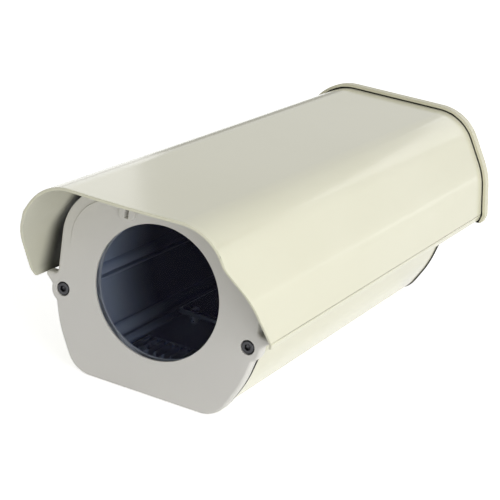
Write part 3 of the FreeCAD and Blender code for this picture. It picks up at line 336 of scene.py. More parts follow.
# Stainless steel, cold headed and tumbled
STAINLESS = Finish("tumbled_stainless_steel", "#B9B8B4", "#AEADA9", 0.28, metallic=1.0, grain_mm=0.7, depth_mm=0.004,
                   drift_mm=8.0)
# Bright zinc plating with a blue passivate
ZINC = Finish("zinc_plated_steel", "#BCC3CC", "#A9B1BD", 0.3, metallic=1.0, grain_mm=0.7, depth_mm=0.003,
              drift_mm=9.0)
# Moulded EPDM rubber: dull black with a fine bloom
RUBBER = Finish("moulded_epdm_rubber", "#1A1A17", "#242421", 0.7, grain_mm=0.6, depth_mm=0.012, drift_mm=14.0)
# Grey anodised aluminium: a turned and blasted ring whose dyed, sealed layer hides most of the metal
ANODISED = Finish("grey_anodised_aluminium", "#C9D2E3", "#CFD7E6", 0.5, metallic=0.3, grain_mm=0.6, depth_mm=0.003,
                  drift_mm=20.0)
# Rolled aluminium sheet: fine grain along the rolling direction
ROLLED_SHEET = Finish("rolled_aluminium_sheet", "#A9ADB2", "#9DA2A8", 0.36, metallic=1.0, grain=Grain.ALONG,
                      grain_mm=0.9, depth_mm=0.006, drift_mm=40.0)
# Extruded aluminium: die lines run along the fins
EXTRUDED = Finish("extruded_aluminium", "#F0F2F5", "#E6EAEE", 0.3, metallic=1.0, grain=Grain.ALONG, grain_mm=0.7,
                  depth_mm=0.006, drift_mm=25.0)
# Inside of the body: a painted pool of light, bright and bluish near the window, fading into painted shade deeper
# inside
LIT_AND_SHADED_INSIDE = PaintedShadeByDepth("extrusion_inside_painted_light_and_shade", "#CCDCF6", "#C4D5F1", 0.42, grain=Grain.ALONG,
                      grain_mm=1.6, depth_mm=0.004, drift_mm=50.0, painted_shade="#0F0F1A", fade_start_mm=-128.0, shade_full_mm=-48.0)
# Moulded polyamide: dark with a fine grain and soft edges
NYLON = Finish("moulded_black_polyamide", "#1A1B1D", "#222326", 0.45, grain_mm=0.8, depth_mm=0.01, drift_mm=18.0)
# Turned brass, lightly dulled
BRASS = Finish("turned_brass", "#B48E48", "#A37F3E", 0.32, metallic=1.0, grain_mm=0.6, depth_mm=0.004, drift_mm=7.0)
# Sponge rubber under the camera, with open pores
SPONGE = Finish("sponge_rubber", "#1D1E20", "#28292B", 0.85, grain_mm=1.2, depth_mm=0.08, drift_mm=16.0)
# Float glass with a dark blue heat-reflecting coat: mostly see-through, hardly any glare
FLOAT_GLASS = Finish("coated_float_glass", "#161532", "#181736", 0.04, grain_mm=120.0, depth_mm=0.002, spread=0.015,
                     drift_mm=90.0, sockets=(("Alpha", 0.13), ("IOR", 1.45), ("Specular IOR Level", 0.3)))


def deselect() -> None:
    """Leave nothing selected, in object mode."""
    if bpy.context.object and bpy.context.object.mode != "OBJECT":
        bpy.ops.object.mode_set(mode="OBJECT")
    bpy.ops.object.select_all(action="DESELECT")


def take(piece: bpy.types.Object) -> bpy.types.Object:
    """Select one piece alone and make it active.

    Args:
        piece: object to work on.

    Returns:
        The same object.
    """
    deselect()
    piece.select_set(True)
    bpy.context.view_layer.objects.active = piece
    return piece


def place_applied(piece: bpy.types.Object) -> bpy.types.Object:
    """Move an object's place, turn and scale into its mesh.

    Args:
        piece: object that stands anywhere.

    Returns:
        The same object at the origin, unturned and unscaled.
    """
    take(piece)
    bpy.ops.object.transform_apply(location=True, rotation=True, scale=True)
    return piece


def with_modifier(piece: bpy.types.Object, kind: str, **settings: Any) -> bpy.types.Object:
    """Add one modifier and apply it.

    Args:
        piece: object to change.
        kind: the modifier's type.
        settings: its values.

    Returns:
        The same object.
    """
    take(piece)
    modifier = piece.modifiers.new(kind.lower(), kind)
    for name, value in settings.items():
        setattr(modifier, name, value)
    bpy.ops.object.modifier_apply(modifier=modifier.name)
    return piece


def choose(piece: bpy.types.Object, element: Element, test: Test) -> None:
    """Enter edit mode and select the faces or edges that a test picks.

    Args:
        piece: object to edit.
        element: what to select.
        test: takes an element's middle, and a face's normal or an edge's run.
    """
    take(piece)
    bpy.ops.object.mode_set(mode="EDIT")
    bpy.ops.mesh.select_mode(type=element.value)
    bpy.ops.mesh.select_all(action="DESELECT")
    mesh = bmesh.from_edit_mesh(piece.data)
    if element is Element.FACE:
        for face in mesh.faces:
            face.select_set(test(face.calc_center_median(), face.normal))
    else:
        for edge in mesh.edges:
            start, end = (vertex.co for vertex in edge.verts)
            edge.select_set(test((start + end) / 2, end - start))
    mesh.select_flush_mode()
    bmesh.update_edit_mesh(piece.data)


def eased(piece: bpy.types.Object, width_mm: float, segments: int = 3, angle: float = 32.0) -> bpy.types.Object:
    """Ease every sharp edge, and shade flats flat and rounds round.

    Args:
        piece: object to finish.
        width_mm: width of the eased edge.
        segments: steps across the edge.
        angle: least angle between faces of a sharp edge.

    Returns:
        The same object.
    """
    with_modifier(piece, "BEVEL", width=mm(width_mm), segments=segments, limit_method="ANGLE",
                  angle_limit=math.radians(angle), use_clamp_overlap=False, miter_outer="MITER_ARC",
                  loop_slide=True)
    bpy.ops.object.shade_smooth_by_angle(angle=math.radians(SMOOTH_ANGLE))
    return with_modifier(piece, "WEIGHTED_NORMAL", mode="FACE_AREA", weight=80, keep_sharp=True)


def joined(name: str, pieces: Iterable[bpy.types.Object]) -> bpy.types.Object:
    """Make one object of several.

    Args:
        name: the new object's name.
        pieces: what to join.

    Returns:
        The joined object.
    """
    members = list(pieces)
    take(members[0])
    for member in members:
        member.select_set(True)
    if len(members) > 1:
        bpy.ops.object.join()
    members[0].name = name
    return members[0]


def copied(piece: bpy.types.Object) -> bpy.types.Object:
    """Copy a piece with a mesh of its own.

    Args:
        piece: object to copy.

    Returns:
        The copy.
    """
    take(piece)
    bpy.ops.object.duplicate(linked=False)
    return bpy.context.object


def aimed(piece: bpy.types.Object, seat: Vector, way: Vector) -> bpy.types.Object:
    """Turn a piece's Z axis to a direction and set it down at a seat.

    Args:
        piece: object at the origin.
        seat: where its origin goes, in metres.
        way: direction of its Z axis.

    Returns:
        The same object, with its place in its mesh.
    """
    turn = Vector((0, 0, 1)).rotation_difference(way).to_matrix().to_4x4()
    piece.matrix_world = Matrix.Translation(seat) @ turn
    return place_applied(piece)


def merged_copy(node: str) -> bpy.types.Object:
    """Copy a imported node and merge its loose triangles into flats.

    Args:
        node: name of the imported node.

    Returns:
        The copy, with the node's own form.
    """
    source = frame["nodes"][node]
    piece = bpy.data.objects.new(f"{node}_finished", source.data.copy())
    bpy.context.collection.objects.link(piece)
    take(piece)
    bpy.ops.mesh.customdata_custom_splitnormals_clear()
    bpy.ops.object.mode_set(mode="EDIT")
    bpy.ops.mesh.select_all(action="SELECT")
    bpy.ops.mesh.remove_doubles(threshold=mm(MERGE_MM))
    bpy.ops.mesh.dissolve_limited(angle_limit=math.radians(FLAT_ANGLE))
    bpy.ops.object.mode_set(mode="OBJECT")
    return piece


def coated(piece: bpy.types.Object, *finishes: Finish) -> bpy.types.Object:
    """Give a piece one slot for each finish. Every face keeps to the first.

    Args:
        piece: object to coat.
        finishes: its materials.

    Returns:
        The same object.
    """
    piece.data.materials.clear()
    for finish in finishes:
        piece.data.materials.append(finish.material())
    return piece


def handed_over(piece: bpy.types.Object, node: str) -> bpy.types.Object:
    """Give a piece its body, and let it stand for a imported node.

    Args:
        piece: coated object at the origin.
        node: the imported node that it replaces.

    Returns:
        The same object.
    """
    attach(piece, BODY_OF[node])
    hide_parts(node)
    log.info("%s: %d faces", piece.name, len(piece.data.polygons))
    return piece


def dressed(node: str, finish: Finish, edge_mm: float = 0.3, segments: int = 2) -> bpy.types.Object:
    """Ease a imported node's own form and give it a finish.

    Args:
        node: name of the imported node.
        finish: its material.
        edge_mm: width of the eased edges.
        segments: steps across them.

    Returns:
        The piece that stands for the node.
    """
    return handed_over(coated(eased(merged_copy(node), edge_mm, segments), finish), node)


def two_coats(node: str, edge_mm: float, outside: Finish, inside: Finish, hidden: Test) -> None:
    """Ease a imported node's own form and finish its hidden faces in another way than the rest.

    Args:
        node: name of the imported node.
        edge_mm: width of the eased edges.
        outside: finish of all other faces.
        inside: finish of the hidden faces.
        hidden: picks the hidden faces by middle and normal.
    """
    piece = coated(eased(merged_copy(node), edge_mm), outside, inside)
    choose(piece, Element.FACE, hidden)
    piece.active_material_index = 1
    bpy.ops.object.material_slot_assign()
    bpy.ops.object.mode_set(mode="OBJECT")
    handed_over(piece, node)


def cut_out(piece: bpy.types.Object, tool: bpy.types.Object) -> None:
    """Cut a tool's form out of a piece and throw the tool away.

    Args:
        piece: object to cut.
        tool: closed form to take out.
    """
    with_modifier(piece, "BOOLEAN", operation="DIFFERENCE", object=tool, solver="EXACT")
    bpy.data.objects.remove(tool)


def knurled(head: bpy.types.Object, radius_mm: float, height_mm: float, knurls: int) -> None:
    """Pull every second upright edge of a round head inwards.

    Args:
        head: cylinder about the Z axis, with two edges for each knurl.
        radius_mm: its radius.
        height_mm: its height.
        knurls: number of valleys.
    """
    def in_valley(middle: Vector, run: Vector) -> bool:
        """Tell whether an edge is one of every second upright edge.

        Args:
            middle: the edge's middle.
            run: from its start to its end.

        Returns:
            Whether it lies in a valley.
        """
        upright = abs(run.z) > mm(height_mm) * KNURL_RUN
        outside = math.hypot(middle.x, middle.y) > mm(radius_mm) * KNURL_OUT
        return upright and outside and round(math.atan2(middle.y, middle.x) / math.pi * knurls) % 2 == 1

    choose(head, Element.EDGE, in_valley)
    bpy.ops.transform.resize(value=(KNURL_VALLEY, KNURL_VALLEY, 1), center_override=(0, 0, 0))
    bpy.ops.object.mode_set(mode="OBJECT")


def lathed(name: str, profile: list[tuple[float, float]], steps: int = 32) -> bpy.types.Object:
    """Turn a piece on the lathe about the Z axis.

    A plane is merged to one point, which is extruded along the profile and spun.

    Args:
        name: the piece's name.
        profile: radius and height of each corner, in millimetres, from axis to axis.
        steps: faces round the piece.

    Returns:
        The turned object.
    """
    deselect()
    radius, height = profile[0]
    bpy.ops.mesh.primitive_plane_add(size=mm(1), location=(mm(radius), 0, mm(height)))
    piece = place_applied(bpy.context.object)
    piece.name = name
    bpy.ops.object.mode_set(mode="EDIT")
    bpy.ops.mesh.select_all(action="SELECT")
    bpy.ops.mesh.merge(type="CENTER")
    for (r0, z0), (r1, z1) in zip(profile, profile[1:]):
        bpy.ops.mesh.extrude_region_move(TRANSFORM_OT_translate={"value": (mm(r1 - r0), 0, mm(z1 - z0))})
    bpy.ops.mesh.select_all(action="SELECT")
    bpy.ops.mesh.spin(steps=steps, angle=math.tau, center=(0, 0, 0), axis=(0, 0, 1))
    bpy.ops.mesh.select_all(action="SELECT")
    bpy.ops.mesh.remove_doubles(threshold=mm(MERGE_MM))
    bpy.ops.mesh.normals_make_consistent(inside=False)
    bpy.ops.object.mode_set(mode="OBJECT")
    return piece


@dataclass(frozen=True)
class Thread:
    """Ridge of a thread, wound about the Z axis. Millimetres, and shares of the pitch."""

    radius: float
    pitch: float
    low: float
    high: float
    depth_share: float = 0.5
    ridge_share: float = 0.36
    seat_share: float = 0.14
    seam: float = 0.001
    steps: int = 20

    @property
    def root(self) -> float:
        """Radius of the core under the ridge."""
        return self.radius - self.pitch * self.depth_share

    def model(self) -> bpy.types.Object:
        """Wind a small triangle into the ridge.

        Returns:
            The ridge, outermost at the thread's radius.
        """
        deselect()
        place = (mm(self.root + self.pitch * self.seat_share), 0, mm(self.low + self.pitch / 2))
        bpy.ops.mesh.primitive_circle_add(vertices=3, radius=mm(self.pitch * self.ridge_share), fill_type="NOTHING",
                                          location=place, rotation=(math.pi / 2, 0, math.pi / 2))
        ridge = place_applied(bpy.context.object)
        turns = max(1, int((self.high - self.low) / self.pitch) - 1)
        with_modifier(ridge, "SCREW", axis="Z", angle=math.tau, screw_offset=mm(self.pitch), iterations=turns,
                      steps=self.steps, render_steps=self.steps, use_merge_vertices=True,
                      merge_threshold=mm(self.seam))
        bpy.ops.object.mode_set(mode="EDIT")
        bpy.ops.mesh.select_all(action="SELECT")
        bpy.ops.mesh.fill_holes(sides=4)
        bpy.ops.mesh.select_all(action="SELECT")
        bpy.ops.mesh.normals_make_consistent(inside=False)
        bpy.ops.object.mode_set(mode="OBJECT")
        return ridge


@dataclass(frozen=True)
class SocketScrew:
    """Socket head screw: knurled head, six-sided socket, threaded shank.

    Millimetres. The rim's rounding and the eased edge are shares of the head's radius. The cone at the
    socket's bottom is as deep as a share of the socket's corner radius, and narrows to the share cone_tip.
    """

    radius: float
    length: float
    head: float
    head_height: float
    socket_across: float
    socket_depth: float
    pitch: float
    knurls: int = 26
    rim_share: float = 0.16
    edge_share: float = 0.03
    cone_share: float = 0.3
    cone_tip: float = 0.05
    overlap: float = 0.2

    def model(self) -> bpy.types.Object:
        """Model the screw with its seat at the origin and its shank along Z."""
        return joined("socket_screw", [self.head_piece(), self.shank_piece()])

    def head_piece(self) -> bpy.types.Object:
        """Model the head: a knurled cylinder with a rounded rim and a socket.

        Returns:
            The head, below its seat.
        """
        deselect()
        top = -mm(self.head_height)
        bpy.ops.mesh.primitive_cylinder_add(vertices=self.knurls * 2, radius=mm(self.head), depth=-top,
                                            location=(0, 0, top / 2))
        head = place_applied(bpy.context.object)
        choose(head, Element.FACE, lambda middle, normal: normal.z < -ALONG_AXIS)
        bpy.ops.mesh.bevel(offset=mm(self.head * self.rim_share), segments=3, affect="EDGES")
        knurled(head, self.head, self.head_height, self.knurls)
        deselect()
        corner = mm(self.socket_across / math.sqrt(3))
        bpy.ops.mesh.primitive_cylinder_add(vertices=6, radius=corner, depth=mm(2 * self.socket_depth),
                                            location=(0, 0, top))
        key = place_applied(bpy.context.object)
        choose(key, Element.FACE, lambda middle, normal: normal.z > ALONG_AXIS)
        bpy.ops.mesh.extrude_region_move(TRANSFORM_OT_translate={"value": (0, 0, corner * self.cone_share)})
        bpy.ops.transform.resize(value=(self.cone_tip, self.cone_tip, 1), center_override=(0, 0, 0))
        bpy.ops.object.mode_set(mode="OBJECT")
        cut_out(head, key)
        return eased(head, self.head * self.edge_share, segments=2, angle=40.0)

    def shank_piece(self) -> bpy.types.Object:
        """Model the shank: a turned core with the thread wound on it.

        Returns:
            The shank, above its seat.
        """
        thread = Thread(self.radius, self.pitch, self.pitch / 2, self.length - self.pitch / 2)
        root, tip = thread.root, min(self.pitch, self.length / 4)
        core = lathed("core", [(0, -self.overlap), (root, -self.overlap), (root, self.length - tip),
                               (root * TIP_SHARE, self.length), (0, self.length)])
        shank = take(joined("shank", [core, thread.model()]))
        bpy.ops.object.shade_smooth_by_angle(angle=math.radians(SMOOTH_ANGLE))
        return shank

    def set_down(self, node: str, finish: Finish, places: Iterable[Place], way: Way) -> None:
        """Model one screw, copy it to every place and let the copies stand for a node.

        Args:
            node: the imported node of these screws.
            finish: their material.
            places: seats of the heads, in millimetres.
            way: which way they are driven.
        """
        first = self.model()
        copies = [aimed(copied(first), Vector(place) / PER_METRE, Vector(way.value)) for place in places]
        bpy.data.objects.remove(first)
        handed_over(coated(joined(f"{node}_finished", copies), finish), node)


# The M3 screw of the camera's plate and of the heater
SMALL_SCREW = SocketScrew(radius=1.5, length=6.0, head=2.75, head_height=2.0, socket_across=2.0, socket_depth=1.0,
                          pitch=0.5, knurls=20)


def both(across: float, along: float, up: float) -> list[Place]:
    """Place and mirror place across the middle."""
    return [(across, along, up), (-across, along, up)]


@dataclass
class Body:
    """Extruded body, its two covers, their gaskets and their screws. Millimetres."""

    floor_half: float = 52.0
    flare_half: float = 67.0
    flare_middle: float = 27.0
    side_half: float = 72.3
    flare_top: float = 45.8
    roof: float = 126.2
    roof_round: float = 36.0
    floor_round: float = 20.0
    floor_corner: float = 40.23
    skin: float = 1.6
    edge: float = 0.35
    front_gasket_edge: float = 0.2
    rear_gasket_edge: float = 0.7
    bulge: float = 1.15
    bulge_middle: float = 60.0
    front_seat: Place = (68.0, -165.0, 52.2)
    front_screw: SocketScrew = SocketScrew(radius=2.5, length=18.0, head=4.25, head_height=4.7, socket_across=4.0,
                                           socket_depth=2.5, pitch=0.8)
    rear_seats: tuple[Place, ...] = ((57.16, 167.5, 111.06), (51.92, 167.5, 13.25))
    rear_screw: SocketScrew = SocketScrew(radius=2.0, length=16.0, head=3.5, head_height=4.0, socket_across=3.0,
                                          socket_depth=2.0, pitch=0.7)

    def half_width(self, height: float) -> float:
        """Half of the outer width at a height.

        Args:
            height: distance above the underside.

        Returns:
            The half width, corners left out.
        """
        if height < self.flare_middle:
            return self.floor_half + (self.flare_half - self.floor_half) * height / self.flare_middle
        share = min((height - self.flare_middle) / (self.flare_top - self.flare_middle), 1.0)
        return self.flare_half + (self.side_half - self.flare_half) * share

    def inside(self, point: Vector) -> bool:
        """Tell whether a point lies deeper inside than the skin's thickness, on the inner faces that get painted
        light and shade.

        Args:
            point: place on the body, in metres.

        Returns:
            Whether it lies on an inner face.
        """
        x, z = abs(point.x) * PER_METRE, point.z * PER_METRE
        if z < self.skin or z > self.roof - self.skin or x > self.half_width(z) - self.skin:
            return False
        over, rise = x - (self.side_half - self.roof_round), z - (self.roof - self.roof_round)
        if over > 0 and rise > 0 and math.hypot(over, rise) > self.roof_round - self.skin:
            return False
        over, drop = x - self.floor_corner, self.floor_round - z
        return not (over > 0 and drop > 0 and math.hypot(over, drop) > self.floor_round - self.skin)

    def squeezed_rim(self, middle: Vector, normal: Vector) -> bool:
        """Tell whether a gasket's face lies on its outside, below the shield's lips."""
        out = Vector((middle.x, 0, middle.z - mm(self.bulge_middle)))
        return abs(normal.y) < ACROSS_AXIS and normal.dot(out) > 0 and middle.z < mm(self.flare_top)

    def front_gasket(self) -> None:
        """Let the front gasket bulge out of its joint, as its screws squeeze it."""
        piece = merged_copy("front_gasket")
        choose(piece, Element.FACE, self.squeezed_rim)
        bpy.ops.transform.shrink_fatten(value=mm(self.bulge))
        bpy.ops.object.mode_set(mode="OBJECT")
        handed_over(coated(eased(piece, self.front_gasket_edge), RUBBER), "front_gasket")

    def build(self) -> None:
        """Finish body, covers, gaskets and screws."""
        # The inner faces get painted light and shade: bright near the window, dark deeper inside
        two_coats("body_shell", self.edge, POWDER_COAT, LIT_AND_SHADED_INSIDE,
                  lambda middle, normal: abs(normal.y) < ACROSS_AXIS and self.inside(middle))
        dressed("front_cover", CAST_COAT, self.edge, segments=3)
        dressed("rear_cover", CAST_COAT, self.edge, segments=3)
        self.front_gasket()
        dressed("rear_gasket", RUBBER, self.rear_gasket_edge, segments=4)
        self.front_screw.set_down("front_cover_screws", BLACK_OXIDE, both(*self.front_seat), Way.REARWARD)
        corners = [place for seat in self.rear_seats for place in both(*seat)]
        self.rear_screw.set_down("rear_cover_screws", STAINLESS, corners, Way.FORWARD)


@dataclass
class Window:
    """Glass pane, its seal, and the ring that holds it from behind. Millimetres."""

    pane_edge: float = 0.15
    seal_edge: float = 0.1
    ring_edge: float = 0.25
    ring_back: float = -161.7
    middle: float = 68.6
    screw_out: float = 39.88
    screw: SocketScrew = replace(SMALL_SCREW, length=5.0)

    def build(self) -> None:
        """Finish the pane and what holds it."""
        dressed("window_glass", FLOAT_GLASS, self.pane_edge)
        dressed("window_seal", RUBBER, self.seal_edge)
        dressed("window_ring", ANODISED, self.ring_edge)
        places = both(self.screw_out, self.ring_back, self.middle + self.screw_out)
        places += both(self.screw_out, self.ring_back, self.middle - self.screw_out)
        self.screw.set_down("window_ring_screws", ZINC, places, Way.FORWARD)


@dataclass
class Sunshield:
    """Swept sunshield with its moulded rear cap and screws. Millimetres."""

    edge: float = 0.5
    cap_edge: float = 0.4
    screw_edge: float = 0.12
    middle: float = 70.0
    flat_half: float = 38.0
    round_middle: float = 104.8
    outer_round: float = 34.5
    skin: float = 1.0
    rail_rise: float = 15.0
    inward: float = -0.2
    cap_seat: Place = (48.0, 217.0, 134.5)
    cap_screw: SocketScrew = SocketScrew(radius=1.6, length=18.0, head=3.5, head_height=2.5, socket_across=2.4,
                                         socket_depth=1.25, pitch=0.5, knurls=20)

    def inner(self, middle: Vector, normal: Vector) -> bool:
        """Tell whether a face looks inwards or belongs to the rails under the roof.

        Args:
            middle: the face's middle.
            normal: its normal.

        Returns:
            Whether it lies on the hidden side.
        """
        over = max(abs(middle.x) * PER_METRE - self.flat_half, 0.0)
        rise = middle.z * PER_METRE - self.round_middle
        rails = rise > self.rail_rise and math.hypot(over, rise) < self.outer_round - self.skin
        out = Vector((middle.x, 0, middle.z - mm(self.middle))).normalized()
        return abs(normal.y) < ACROSS_AXIS and (rails or normal.dot(out) < self.inward)

    def build(self) -> None:
        """Finish the shield, its cap and its screws."""
        # The inner faces get painted shade: the coat fades to near black behind the visor's rim
        two_coats("sunshield", self.edge, POWDER_COAT, SHADED_COAT_INSIDE, self.inner)
        dressed("shield_rear_cap", MOULDED_ABS, self.cap_edge, segments=3)
        self.cap_screw.set_down("cap_screws", STAINLESS, both(*self.cap_seat), Way.FORWARD)
        dressed("shield_lock_screws", STAINLESS, self.screw_edge)


class Side(Enum):
    """The three glands, from left to right."""

    LEFT = "left"
    CENTRE = "centre"
    RIGHT = "right"


@dataclass
class Glands:
    """Three cable glands with their nuts, seals, washers and locknuts. Millimetres."""

    edge: float = 0.4
    washer_edge: float = 0.15
    seal_edge: float = 0.2

    def build(self) -> None:
        """Finish every gland."""
        for side in Side:
            dressed(f"gland_body_{side.value}", NYLON, self.edge, segments=3)
            dressed(f"gland_nut_{side.value}", NYLON, self.edge, segments=3)
        dressed("gland_locknuts", NYLON, self.edge, segments=3)
        dressed("gland_washers", RUBBER, self.washer_edge)
        dressed("gland_seals", RUBBER, self.seal_edge)


@dataclass
class CameraTray:
    """Sliding tray with the camera's plate, its posts and fixings. Millimetres."""

    tray_edge: float = 0.2
    plate_edge: float = 0.25
    washer_edge: float = 0.15
    plate_top: float = 16.5
    tray_top: float = 8.0
    post_out: float = 28.0
    post_front: float = -51.0
    post_rear: float = 69.0
    earth_along: float = 116.0
    earth_screw: SocketScrew = SocketScrew(radius=2.0, length=3.2, head=4.0, head_height=2.5, socket_across=2.4,
                                           socket_depth=1.25, pitch=0.7, knurls=20)

    def build(self) -> None:
        """Finish the tray and all that it carries."""
        dressed("tray", ROLLED_SHEET, self.tray_edge)
        dressed("camera_plate", ROLLED_SHEET, self.plate_edge)
        dressed("camera_pad", SPONGE, self.plate_edge)
        dressed("plate_standoffs", ZINC, self.tray_edge)
        dressed("screw_washer", ZINC, self.washer_edge)
        posts = both(self.post_out, self.post_front, self.plate_top)
        posts += both(self.post_out, self.post_rear, self.plate_top)
        SMALL_SCREW.set_down("plate_screws", ZINC, posts, Way.DOWN)
        self.earth_screw.set_down("earth_screw", BRASS, [(0.0, self.earth_along, self.tray_top)], Way.DOWN)


@dataclass
class CameraScrew:
    """Knurled screw that holds the camera from below. Millimetres."""

    along: float = 9.0
    foot: float = 9.5
    radius: float = 8.0
    height: float = 3.5
    knurls: int = 30
    rim_round: float = 0.6
    edge: float = 0.15
    slot_long: float = 20.0
    slot_wide: float = 1.6
    slot_deep: float = 1.4
    neck_low: float = 3.3
    shoulder: float = 4.4
    neck_high: float = 4.9
    chamfer: float = 12.9
    tip: float = 13.5
    thread: Thread = Thread(radius=3.175, pitch=1.27, low=4.5, high=13.4)

    def head_piece(self) -> bpy.types.Object:
        """Model the head: knurled, with rounded rims and a slot below.

        Returns:
            The head, upwards from the origin.
        """
        deselect()
        bpy.ops.mesh.primitive_cylinder_add(vertices=self.knurls * 2, radius=mm(self.radius), depth=mm(self.height),
                                            location=(0, 0, mm(self.height / 2)))
        head = place_applied(bpy.context.object)
        choose(head, Element.FACE, lambda middle, normal: abs(normal.z) > ALONG_AXIS)
        bpy.ops.mesh.bevel(offset=mm(self.rim_round), segments=2, affect="EDGES")
        knurled(head, self.radius, self.height, self.knurls)
        deselect()
        size = (mm(self.slot_long), mm(self.slot_wide), mm(self.slot_deep * 2))
        bpy.ops.mesh.primitive_cube_add(size=1, location=(0, 0, 0), scale=size)
        cut_out(head, place_applied(bpy.context.object))
        return eased(head, self.edge, segments=2, angle=40.0)

    def build(self) -> None:
        """Model the screw, set it down and finish it."""
        head = self.head_piece()
        radius, root = self.thread.radius, self.thread.root
        core = lathed("core", [(0, self.neck_low), (radius, self.neck_low), (radius, self.shoulder),
                               (root, self.neck_high), (root, self.chamfer), (root * TIP_SHARE, self.tip),
                               (0, self.tip)])
        screw = joined("camera_screw_finished", [head, core, self.thread.model()])
        aimed(screw, Vector((0, mm(self.along), mm(self.foot))), Vector((0, 0, 1)))
        bpy.ops.object.shade_smooth_by_angle(angle=math.radians(SMOOTH_ANGLE))
        handed_over(coated(screw, ZINC), "camera_screw")


@dataclass
class Heater:
    """Finned heater under the window. Millimetres."""

    edge: float = 0.15
    screw_out: float = 24.0
    along: float = -120.0
    foot_top: float = 7.6

    def build(self) -> None:
        """Finish the heater and its screws."""
        dressed("heater", EXTRUDED, self.edge)
        SMALL_SCREW.set_down("heater_screws", ZINC, both(self.screw_out, self.along, self.foot_top), Way.DOWN)


def direction(azimuth: float, elevation: float) -> Vector:
    """Point from the object to a place round it.

    Args:
        azimuth: degrees from -Y, the front, towards +X.
        elevation: degrees above level.

    Returns:
        The direction, of length one.
    """
    a, e = math.radians(azimuth), math.radians(elevation)
    return Vector((math.sin(a) * math.cos(e), -math.cos(a) * math.cos(e), math.sin(e)))


@dataclass(frozen=True)
class Lamp:
    """A soft, even card of light that faces the object. Degrees, metres and watts."""

    name: str
    azimuth: float
    elevation: float
    distance: float
    wide: float
    high: float
    power: float
    aim_height: float = 0.07

    def hang(self) -> None:
        """Hang the lamp at its place, facing the object's middle."""
        place = self.distance * direction(self.azimuth, self.elevation)
        data = bpy.data.lights.new(f"{self.name}_lamp", "AREA")
        data.shape, data.size, data.size_y, data.energy = "RECTANGLE", self.wide, self.high, self.power
        lamp = bpy.data.objects.new(f"{self.name}_lamp", data)
        lamp.visible_camera = False
        bpy.context.collection.objects.link(lamp)
        turn = (Vector((0, 0, self.aim_height)) - place).to_track_quat("-Z", "Y").to_matrix().to_4x4()
        lamp.matrix_world = Matrix.Translation(place) @ turn


def seen_by_eye(tree: bpy.types.NodeTree) -> bpy.types.NodeSocket:
    """Find out which rays see a surface as the eye does.

    Args:
        tree: the material's tree.

    Returns:
        One for rays from the camera, a reflection or glass, else nought.
    """
    path = add(tree, "ShaderNodeLightPath").outputs
    plain = {0: path["Is Camera Ray"], 1: path["Is Glossy Ray"]}
    first = add(tree, "ShaderNodeMath", plain, operation="MAXIMUM").outputs[0]
    return add(tree, "ShaderNodeMath", {0: first, 1: path["Is Transmission Ray"]}, operation="MAXIMUM").outputs[0]


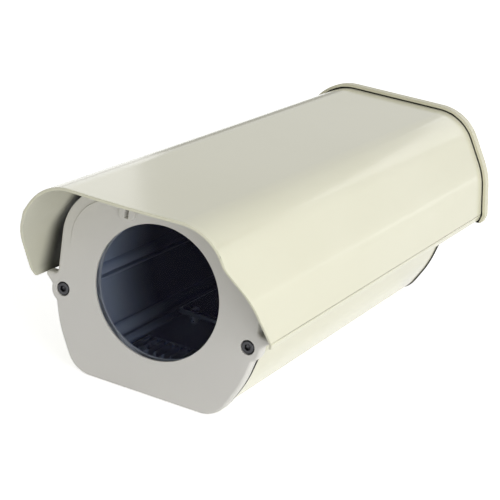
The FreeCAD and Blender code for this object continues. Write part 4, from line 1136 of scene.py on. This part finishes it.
@dataclass
class Studio:
    """Floor, lamps, world and camera. The camera stands where the photograph was taken."""

    azimuth: float = 24.16
    elevation: float = 18.15
    roll: float = 8.40
    lens: float = 120.996
    sensor: float = 36.0
    clip: tuple[float, float] = (0.05, 50.0)
    place: Place = (459.01, -1059.22, 433.95)
    floor_size: float = 12.0
    floor_drop: float = 1.3
    floor_colour: str = "#E9E9E7"
    floor_glow: float = 0.62
    ambient: float = 0.31
    # Name, azimuth, elevation, distance, width, height, power
    lamps: tuple[Lamp, ...] = (
        Lamp("key", 67.0, 24.0, 2.2, 2.0, 1.6, 27.0),
        Lamp("rear", 194.0, 35.0, 2.2, 2.6, 2.0, 9.4),
        Lamp("side_card", 154.0, 8.0, 2.2, 3.0, 1.5, 12.0),
        Lamp("left_card", 247.4, 20.0, 2.2, 3.0, 1.6, 12.5),
        Lamp("front", 38.0, 6.0, 2.0, 0.8, 0.8, 6.6),
    )

    def build(self) -> None:
        """Set up the whole studio."""
        self.floor()
        self.world()
        for lamp in self.lamps:
            lamp.hang()
        self.camera()

    def floor(self) -> None:
        """Lay a pale floor that shows white but keeps the object's shadow."""
        deselect()
        bpy.ops.mesh.primitive_plane_add(size=self.floor_size, location=(0, 0, -mm(self.floor_drop)))
        floor = place_applied(bpy.context.object)
        floor.name = "studio_floor"
        material = bpy.data.materials.new("pale_studio_floor")
        tree = cleared(material)
        matt = add(tree, "ShaderNodeBsdfDiffuse", {"Color": linear(self.floor_colour)}).outputs[0]
        glow = add(tree, "ShaderNodeEmission", {"Color": WHITE, "Strength": self.floor_glow}).outputs[0]
        lit = add(tree, "ShaderNodeAddShader", {0: matt, 1: glow}).outputs[0]
        mix = add(tree, "ShaderNodeMixShader", {0: seen_by_eye(tree), 1: matt, 2: lit})
        add(tree, "ShaderNodeOutputMaterial", {"Surface": mix.outputs[0]})
        floor.data.materials.append(material)

    def world(self) -> None:
        """Fill the room with even light, and show it white."""
        world = bpy.data.worlds.new("studio_world")
        tree = cleared(world)
        fill = add(tree, "ShaderNodeBackground", {"Color": WHITE, "Strength": self.ambient}).outputs[0]
        white = add(tree, "ShaderNodeBackground", {"Color": WHITE, "Strength": 1.0}).outputs[0]
        in_view = add(tree, "ShaderNodeLightPath").outputs["Is Camera Ray"]
        mix = add(tree, "ShaderNodeMixShader", {0: in_view, 1: fill, 2: white})
        add(tree, "ShaderNodeOutputWorld", {"Surface": mix.outputs[0]})
        bpy.context.scene.world = world

    def camera(self) -> None:
        """Put the camera where the photograph's perspective was fitted."""
        back = direction(self.azimuth, self.elevation)
        level = direction(self.azimuth + 90, 0)
        upright = back.cross(level)
        lean = math.radians(self.roll)
        right = math.cos(lean) * level + math.sin(lean) * upright
        up = math.cos(lean) * upright - math.sin(lean) * level
        data = bpy.data.cameras.new("photo_camera")
        data.lens, data.sensor_width = self.lens, self.sensor
        data.clip_start, data.clip_end = self.clip
        camera = bpy.data.objects.new("photo_camera", data)
        bpy.context.collection.objects.link(camera)
        axes = Matrix((right, up, back)).transposed().to_4x4()
        camera.matrix_world = Matrix.Translation(Vector(self.place) / PER_METRE) @ axes
        bpy.context.scene.camera = camera
        bpy.context.scene.view_settings.view_transform = "Standard"


def main() -> None:
    """Build every sub-assembly and the studio."""
    logging.basicConfig(level=logging.INFO, format="%(message)s")
    for assembly in (Studio(), Body(), Window(), Sunshield(), Glands(), CameraTray(), CameraScrew(), Heater()):
        assembly.build()
        log.info("%s done", type(assembly).__name__)


if __name__ == "__main__":
    main()
